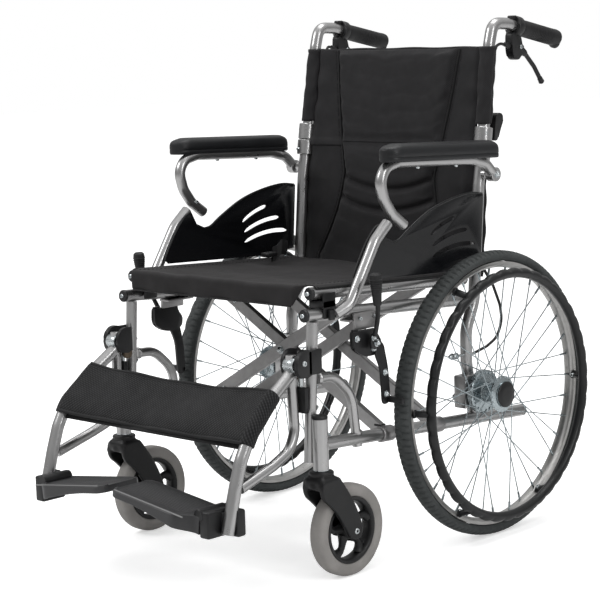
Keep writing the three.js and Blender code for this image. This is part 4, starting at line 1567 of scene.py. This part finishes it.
def inflate(made, cap):
    """Blows a closed pad up with cloth pressure, and keeps every point within cap mm."""
    remesh = made.modifiers.new("even", "REMESH")
    remesh.mode = "VOXEL"
    remesh.voxel_size = PAD_VOXEL * MM
    apply_modifiers(made)
    start = [v.co.copy() for v in made.data.vertices]
    cloth = made.modifiers.new("cloth", "CLOTH")
    cloth.settings.use_pressure = True
    cloth.settings.uniform_pressure_force = PAD_PRESSURE
    cloth.settings.effector_weights.gravity = 0.0
    cloth.settings.quality = PAD_QUALITY
    scene = bpy.context.scene
    cloth.point_cache.frame_start = 1
    cloth.point_cache.frame_end = PAD_FRAMES
    for number in range(1, PAD_FRAMES + 1):
        scene.frame_set(number)
    apply_modifiers(made)
    scene.frame_set(1)
    for vertex, origin in zip(made.data.vertices, start):
        move = vertex.co - origin
        if move.length > cap * MM:
            vertex.co = origin + move.normalized() * cap * MM
    smooth = made.modifiers.new("fine", "SUBSURF")
    smooth.levels = 1
    apply_modifiers(made)


def refit(made, z0, z1):
    """Stretches a blown-up pad back to its cut size, which the pressure has drawn in."""
    heights = [v.co.z for v in made.data.vertices]
    low, high = min(heights), max(heights)
    band = 0.008
    widest = {}
    for vertex in made.data.vertices:
        vertex.co.z = (z0 + (z1 - z0) * (vertex.co.z - low) / (high - low)) * MM
        key = int(vertex.co.z / band)
        widest[key] = max(widest.get(key, 0.0), abs(vertex.co.x))
    for vertex in made.data.vertices:
        place = vertex.co.z / band - 0.5
        key = math.floor(place)
        near = widest.get(key, widest.get(key + 1))
        far = widest.get(key + 1, near)
        width = near + (far - near) * (place - key)
        vertex.co.x *= (waist(vertex.co.z / MM) + 0.5) * MM / width


def sew(made):
    """Presses the sewn channels into the front and thins the pad towards its edges."""
    for vertex in made.data.vertices:
        x, z = vertex.co.x / MM, vertex.co.z / MM
        base = at(0, back_surface(x, z), 0).y
        if vertex.co.y > base:
            continue
        seam = smooth_step(0, 22, abs(z - BACK_SEAM))
        proud = (base - vertex.co.y) * seam + 9.0 * MM * (1 - seam)
        edge = smooth_step(0, 14, waist(z) + 3 - abs(x))
        dip = channel_dip(x, z) * MM
        proud = max(proud * (0.25 + 0.75 * edge) - dip, 0.0006)
        vertex.co.y = base - proud


def flat_coordinates(made):
    """Flat coordinates in metres, so that the weave lies along the cloth."""
    mesh = made.data
    layer = mesh.uv_layers.get("cloth") or mesh.uv_layers.new(name="cloth")
    for loop in mesh.loops:
        place = mesh.vertices[loop.vertex_index].co
        layer.data[loop.index].uv = (place.x, place.z)


def tape(name, body, points, radius, material=None, flat=(1.0, 1.0)):
    """A piped or bound edge along the points."""
    def build(bm):
        sweep(bm, points, radius, 10, squash=flat, round_ends=0.3)

    return piece(name, body, material or band_cloth, build)


def across_fold(made):
    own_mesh(made)


def back_upholstery():
    spans = (
        ("upper", "right_upper_back", BACK_SEAM - 8, 884.0),
        ("lower", "right_frame", 466.0, BACK_SEAM - 0.3)
    )
    for label, body, z0, z1 in spans:
        reach = 206.0

        def surface(s, t):
            x = reach * (1 - 2 * s)
            z = z0 + (z1 - z0) * t
            y = back_surface(x, z)
            if label == "lower":
                # The fabric passes behind the posts, and a flap of it reaches up behind the fold.
                y += 16.5 * smooth_step(190, 206, abs(x))
                x *= 1 + 0.12 * smooth_step(190, 206, abs(x))
            else:
                # The upper sling's lower edge laps over the front of the lower one.
                y += 5.5 * smooth_step(192, 206, abs(x)) - 2.2 * smooth_step(
                    BACK_SEAM + 8, BACK_SEAM, z
                )
                if t > 0.94:
                    z += 0.7 * math.sin(x * 0.05) * (t - 0.94) / 0.06
            return x, y, z

        sheet, flat = cloth_sheet(
            f"{label}_back_sling", body, back_cloth, 120, 80, surface
        )
        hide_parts(f"{label}_back_panel")
        across_fold(sheet)
        upper = label == "upper"
        padded_back(
            f"{label}_back_pad", body, z0 + 8.3 if upper else z0 + 2, z1 - 3 if upper else z1
        )
        for side_label, side in SIDES:
            line = []
            steps = 30
            for k in range(steps + 1):
                low = max(z0, BACK_SEAM) if upper else z0
                z = low + 3 + (z1 - low - 7) * k / steps
                x = side * (waist(z) + 1.5)
                line.append(at(x, back_surface(x, z) - 1.6, z))
            across_fold(tape(f"{side_label}_{label}_back_piping", body, line, 2.3))
            stitched = stitches(
                f"{side_label}_{label}_back_stitching", body,
                [p + Vector((side * 0.006, -0.0002, 0)) for p in line]
            )
            across_fold(stitched)
        hem = [
            at(
                x, back_surface(x, z1 - 4) - 1.0, z1 - (9 if label == "upper" else 2)
            ) for x in range(-190, 191, 10)
        ]
        across_fold(stitches(f"{label}_back_hem", body, hem))


def stitches(name, body, line, length=4.2, space=2.2):
    """A row of stitches along a line of points."""
    def build(bm):
        offset = 0.0
        for a, b in zip(line, line[1:]):
            run = (b - a).length / MM
            while offset + length < run:
                start, end = a.lerp(b, offset / run), a.lerp(b, (offset + length) / run)
                middle = (start + end) / 2 + Vector((0, -0.0003, 0))
                sweep(bm, [start, middle, end], [0.35, 0.6, 0.35], 6)
                offset += length + space
            offset = max(offset - run, 0.0)

    return piece(name, body, band_cloth, build)


def cane_sleeves():
    """The sling's sewn tunnels round the upper canes."""
    for label, side in SIDES:
        def surface(s, t, side=side):
            z = 744 + (884 - 744) * t
            turn = 2 * math.pi * s
            cx = side * (CANE_X - 4 * smooth_step(707, 888, z))
            cy = 51 + (z - 709) * 28 / 179
            radius = 13.4 + ripple(
                math.cos(turn) * 30, math.sin(turn) * 30, z, 0.045, 2.0
            ) + 1.3 * (t > 0.95)
            x = cx + side * radius * math.cos(turn)
            y = cy - side * radius * math.sin(turn) * side * 0.96
            if side * (x - cx) < 0:
                x = cx - (cx - x) * 1.25
            return x, y, z

        sleeve, flat = cloth_sheet(
            f"{label}_cane_sleeve", f"{label}_upper_back", back_cloth, 40, 36,
            surface, 1.4
        )


def seat_upholstery():
    for label, side in SIDES:
        def surface(s, t, side=side):
            # s runs from the middle out over the rail, t from the front flap to the rear.
            reach = 207.0 + 27.0
            run = s * reach
            # The cloth is cut back over the rail's front end, so its cap shows.
            start = SEAT_FRONT_Y + 20 * smooth_step(203, 213, run)
            back = start + (-4 - start) * max(t - 0.10, 0) / 0.90
            lift = seat_rail_z(back) + 13.2
            inside = min(run, 222.0)
            x = side * inside
            sag = 10.5 * (
                1 - (inside / 222) ** 2
            ) * smooth_step(-450, -360, back) * smooth_step(20, -120, back)
            z = lift - sag + ripple(
                x, back, 0, 0.014, 3.4
            ) * smooth_step(222, 120, run) * smooth_step(0, 24, run)
            if run > 222:
                turn = (run - 222) / 13.2
                x = side * (222.5 + 13.2 * math.sin(turn))
                z = lift - 13.2 * (1 - math.cos(turn))
            y = back
            if t < 0.10:
                # The flap over the front edge runs out before it reaches the rail's cap.
                drop = (0.10 - t) / 0.10 * smooth_step(214, 202, run)
                turn = min(drop / 0.30, 1) * math.pi / 2
                y = start - 7 * math.sin(turn) * smooth_step(236, 206, run)
                z -= 7 * (1 - math.cos(turn)) + 26 * max(drop - 0.30, 0) / 0.70
                y += 3 * max(drop - 0.30, 0) * math.sin(x * 0.06)
            return x, y, z

        sheet, flat = cloth_sheet(
            f"{label}_seat_sling", f"{label}_seat_half", seat_cloth, 90, 130,
            surface, 2.0, 60, joined=True
        )
        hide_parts(f"{label}_seat_panel")

        def row(offset, start, end, side=side, steps=40):
            out = []
            for k in range(steps + 1):
                y = start + (end - start) * k / steps
                out.append(
                    at(
                        side * offset, y,
                        seat_rail_z(y) + 13.2 - 10.5 * (
                            1 - (offset / 222) ** 2
                        ) * smooth_step(-450, -360, y) * smooth_step(20, -120, y) + 1.3
                    )
                )
            return out

        stitches(f"{label}_seat_stitching", f"{label}_seat_half", row(198, -424, -20))
        strip = [at(side * 231.4, y, seat_rail_z(y) + 9.6) for y in range(-408, -16, 12)]
        tape(f"{label}_seat_edge_strip", f"{label}_seat_half", strip, 3.2, flat=(1.0, 0.8))
        hem = [
            at(
                side * x, SEAT_FRONT_Y - 7.6, seat_rail_z(SEAT_FRONT_Y) - 21
            ) for x in range(0, 200, 6)
        ]
        tape(f"{label}_seat_hem", f"{label}_seat_half", hem, 1.7)


def lap_belt():
    """The lap belt's two short tabs, folded back beside the rear of the seat."""
    for label, side in SIDES:
        def build(bm, side=side):
            y0 = -70
            places = [
                (side * 214, -24, 500), (side * 206, -48, 505), (side * 190, y0, 503),
                (side * 172, y0 - 26, 500), (side * 158, y0 - 52, 500)
            ]
            sweep(bm, rounded([at(*p) for p in places], 24), 15, 14, squash=(0.1, 1.0))

        def buckle(bm, side=side):
            block(bm, (side * 146, side * 166), (-146, -118), (497, 506), 3, 3)

        piece(f"{label}_belt_tab", f"{label}_seat_half", band_cloth, build)
        piece(f"{label}_belt_buckle", f"{label}_seat_half", black, buckle)


def calf_path():
    """The left leg rest tube's middle line behind the calf band: even points in metres."""
    corners = [
        (HANGER_TOP_X, -462, 366), (226, -520, 328), (HANGER_X, -579, 278), (HANGER_X, -602, 238)
    ]
    line = rounded([at(*p) for p in corners], 70, 12)
    lengths = [0.0]
    for a, b in zip(line, line[1:]):
        lengths.append(lengths[-1] + (b - a).length)
    start, end = 64 * MM, lengths[-1] - 26 * MM
    steps = 32
    path = []
    for k in range(steps + 1):
        run = start + (end - start) * k / steps
        i = max(n for n in range(len(lengths) - 1) if lengths[n] <= run)
        path.append(line[i].lerp(line[i + 1], (run - lengths[i]) / (lengths[i + 1] - lengths[i])))
    return path


def calf_strap():
    path = calf_path()

    def spot(t):
        """The tube's middle at t down the band, and the direction from it to the calf."""
        place = t * (len(path) - 1)
        k = min(int(place), len(path) - 2)
        down = (path[k + 1] - path[k]).normalized()
        here = path[k].lerp(path[k + 1], place - k)
        return here, Vector((0, down.z, -down.y)).normalized()

    def surface(s, t):
        here, out = spot(t)
        half = here.x / MM
        x = half * (1 - 2 * s)
        slack = 13 * (1 - (x / half) ** 2)
        wave = ripple(x, here.y / MM, here.z / MM, 0.013, 3.4) * (1 - abs(x / half) ** 3)
        edge = 2.4 * math.sin(x * 0.045) * (abs(2 * t - 1) ** 6)
        lift = 12.8 - slack - wave + edge
        place = here + out * lift * MM
        return x, place.y / MM - AXLE_Y, place.z / MM

    strap, flat = cloth_sheet(
        "calf_band", "right_frame", mesh_cloth, 130, 44, surface, 2.4
    )
    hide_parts("calf_strap")
    across_fold(strap)
    for label, t in (("upper", 0.012), ("lower", 0.988)):
        hem = [at(*surface(k / 60, t)) for k in range(61)]
        across_fold(tape(f"calf_band_{label}_hem", "right_frame", hem, 3.0))
        inner = t + (0.06 if t < 0.5 else -0.06)
        sewn = [at(*surface(k / 60, inner)) + spot(inner)[1] * 1.3 * MM for k in range(61)]
        across_fold(stitches(f"calf_band_{label}_stitching", "right_frame", sewn))

    def under(s, t):
        here, out = spot(1.0)
        down = Vector((0, -out.z, out.y)) * -1
        place = here + (down * (14 * t - 7) - out * 3.5) * MM
        return (here.x / MM - 6) * (1 - 2 * s), place.y / MM - AXLE_Y, place.z / MM

    lower, size = cloth_sheet(
        "calf_band_under_strap", "right_frame", band_cloth, 40, 6, under, 2.2
    )
    across_fold(lower)
    for label, side in SIDES:
        def wrap(s, t, side=side):
            here, out = spot(t)
            turn = math.radians(270) * s - math.radians(25)
            radius = 13.0 + ripple(s * 40, t * 60, side, 0.08, 0.7)
            place = here + out * radius * math.cos(turn) * MM
            return side * (
                here.x / MM + radius * math.sin(turn)
            ), place.y / MM - AXLE_Y, place.z / MM

        loop, size = cloth_sheet(
            f"{label}_calf_band_loop", f"{label}_frame", mesh_cloth, 36, 40, wrap, 1.8
        )


def brake_cable(label, side):
    """The attendant brake's cable, from the hand lever's clamp to the stop on the rear post."""
    inner, loop = side * (CANE_X - 14), side * 224
    corners = [
        (side * GRIP_X, 136, 880), (
            side * (GRIP_X - 2), 112, 890
        ), (inner, 98, 872), (inner, 72, 730),
        (inner, 60, 620), (inner, 52, 490), (loop, 70, 446), (loop, 90, 406), (loop, 95, 377),
        (loop, 80, 347), (loop, 49, 334), (loop, 8, 326),
    ]
    line = rounded([at(*p) for p in corners], 40, 8)
    radius = 2.7

    def build(bm):
        sweep(bm, line, radius, 14)

    made = piece(
        f"{label}_brake_line", None, cable_black, build, [f"{label}_brake_cable"],
        ride=False
    )
    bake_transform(made)


# ---- The chair ---------------------------------------------------------------------------

for side_name, side_sign in SIDES:
    frame_side(side_name, side_sign)
    drive_wheel(side_name, side_sign)
    caster(side_name, side_sign)
    parking_brake(side_name, side_sign)
    armrest(side_name, side_sign)
    upper_back(side_name, side_sign)
    leg_rest(side_name, side_sign)
    brake_cable(side_name, side_sign)
brace("left", 1, (-262, -128))
brace("right", -1, (-244, -110))
back_upholstery()
cane_sleeves()
seat_upholstery()
lap_belt()
calf_strap()

# ---- Floor, light and camera -------------------------------------------------------------

FLOOR_SIZE = 30  # metres
FLOOR_GLOW = 0.48
SKY_RANGE = (-0.1, 0.95, 0.22, 1.0)  # from low, from high, to dim, to bright
LENS, SENSOR = 118.68, 36  # mm
CAMERA_PLACE = (2.4907, -2.5767, 0.9429)
CAMERA_TURN = (44.12, 8.07, -1.80)  # yaw, pitch and roll in degrees

def floor():
    bpy.ops.mesh.primitive_plane_add(size=FLOOR_SIZE)
    made = bpy.context.object
    made.name = "floor"
    shade = Shader("floor_white", (0.9, 0.9, 0.9), 0.6)
    shade.roughness(shade.range(shade.noise(4.0), 0.3, 0.7, 0.55, 0.65))
    # The glow is seen by the camera only, so it washes the paper out without lighting the chair.
    seen = shade.node("ShaderNodeLightPath").outputs["Is Camera Ray"]
    shade.surface.inputs["Emission Color"].default_value = (1, 1, 1, 1)
    shade.link(shade.maths("MULTIPLY", seen, FLOOR_GLOW), shade.surface.inputs["Emission Strength"])
    made.data.materials.append(shade.material)


def area_light(name, place, target, size, power, color=(1, 1, 1)):
    data = bpy.data.lights.new(name, "AREA")
    data.shape = "RECTANGLE"
    data.size, data.size_y = size
    data.energy = power
    data.color = color
    made = bpy.data.objects.new(name, data)
    made.location = place
    made.rotation_euler = (Vector(target) - Vector(place)).to_track_quat("-Z", "Y").to_euler()
    bpy.context.scene.collection.objects.link(made)


def studio():
    world = bpy.data.worlds.new("studio")
    world.use_nodes = True
    # White behind the chair; what lights it is bright above and dimmer round the horizon.
    tree = world.node_tree
    background = tree.nodes["Background"]
    path = tree.nodes.new("ShaderNodeLightPath")
    place = tree.nodes.new("ShaderNodeTexCoord")
    split = tree.nodes.new("ShaderNodeSeparateXYZ")
    ramp = tree.nodes.new("ShaderNodeMapRange")
    for key, number in zip(("From Min", "From Max", "To Min", "To Max"), SKY_RANGE):
        ramp.inputs[key].default_value = number
    choose = tree.nodes.new("ShaderNodeMix")
    choose.inputs["B"].default_value = 1.0
    tree.links.new(place.outputs["Generated"], split.inputs["Vector"])
    tree.links.new(split.outputs["Z"], ramp.inputs["Value"])
    tree.links.new(path.outputs["Is Camera Ray"], choose.inputs["Factor"])
    tree.links.new(ramp.outputs["Result"], choose.inputs["A"])
    tree.links.new(choose.outputs["Result"], background.inputs["Strength"])
    background.inputs["Color"].default_value = (1, 1, 1, 1)
    bpy.context.scene.world = world
    bpy.context.scene.view_settings.view_transform = "Standard"
    area_light("key", (-1.8, -2.4, 2.9), (0, 0, 0.5), (1.4, 1.0), 46)
    area_light("right_strip", (3.2, -0.4, 1.9), (0, 0, 0.5), (0.5, 2.0), 26)
    area_light("top", (0.0, 0.6, 3.4), (0, 0, 0.4), (2.4, 1.4), 40)


def camera():
    data = bpy.data.cameras.new("camera")
    data.lens = LENS
    data.sensor_width = SENSOR
    made = bpy.data.objects.new("camera", data)
    yaw, pitch, roll = (math.radians(turn) for turn in CAMERA_TURN)
    back = Vector(
        (math.sin(yaw) * math.cos(pitch), -math.cos(yaw) * math.cos(pitch), math.sin(pitch))
    )
    right = (-back).cross(Vector((0, 0, 1))).normalized()
    up = right.cross(-back)
    across = right * math.cos(roll) + up * math.sin(roll)
    upright = up * math.cos(roll) - right * math.sin(roll)
    turn = Matrix((across, upright, back)).transposed()
    made.matrix_world = Matrix.Translation(CAMERA_PLACE) @ turn.to_4x4()
    bpy.context.scene.collection.objects.link(made)
    bpy.context.scene.camera = made


floor()
studio()
camera()
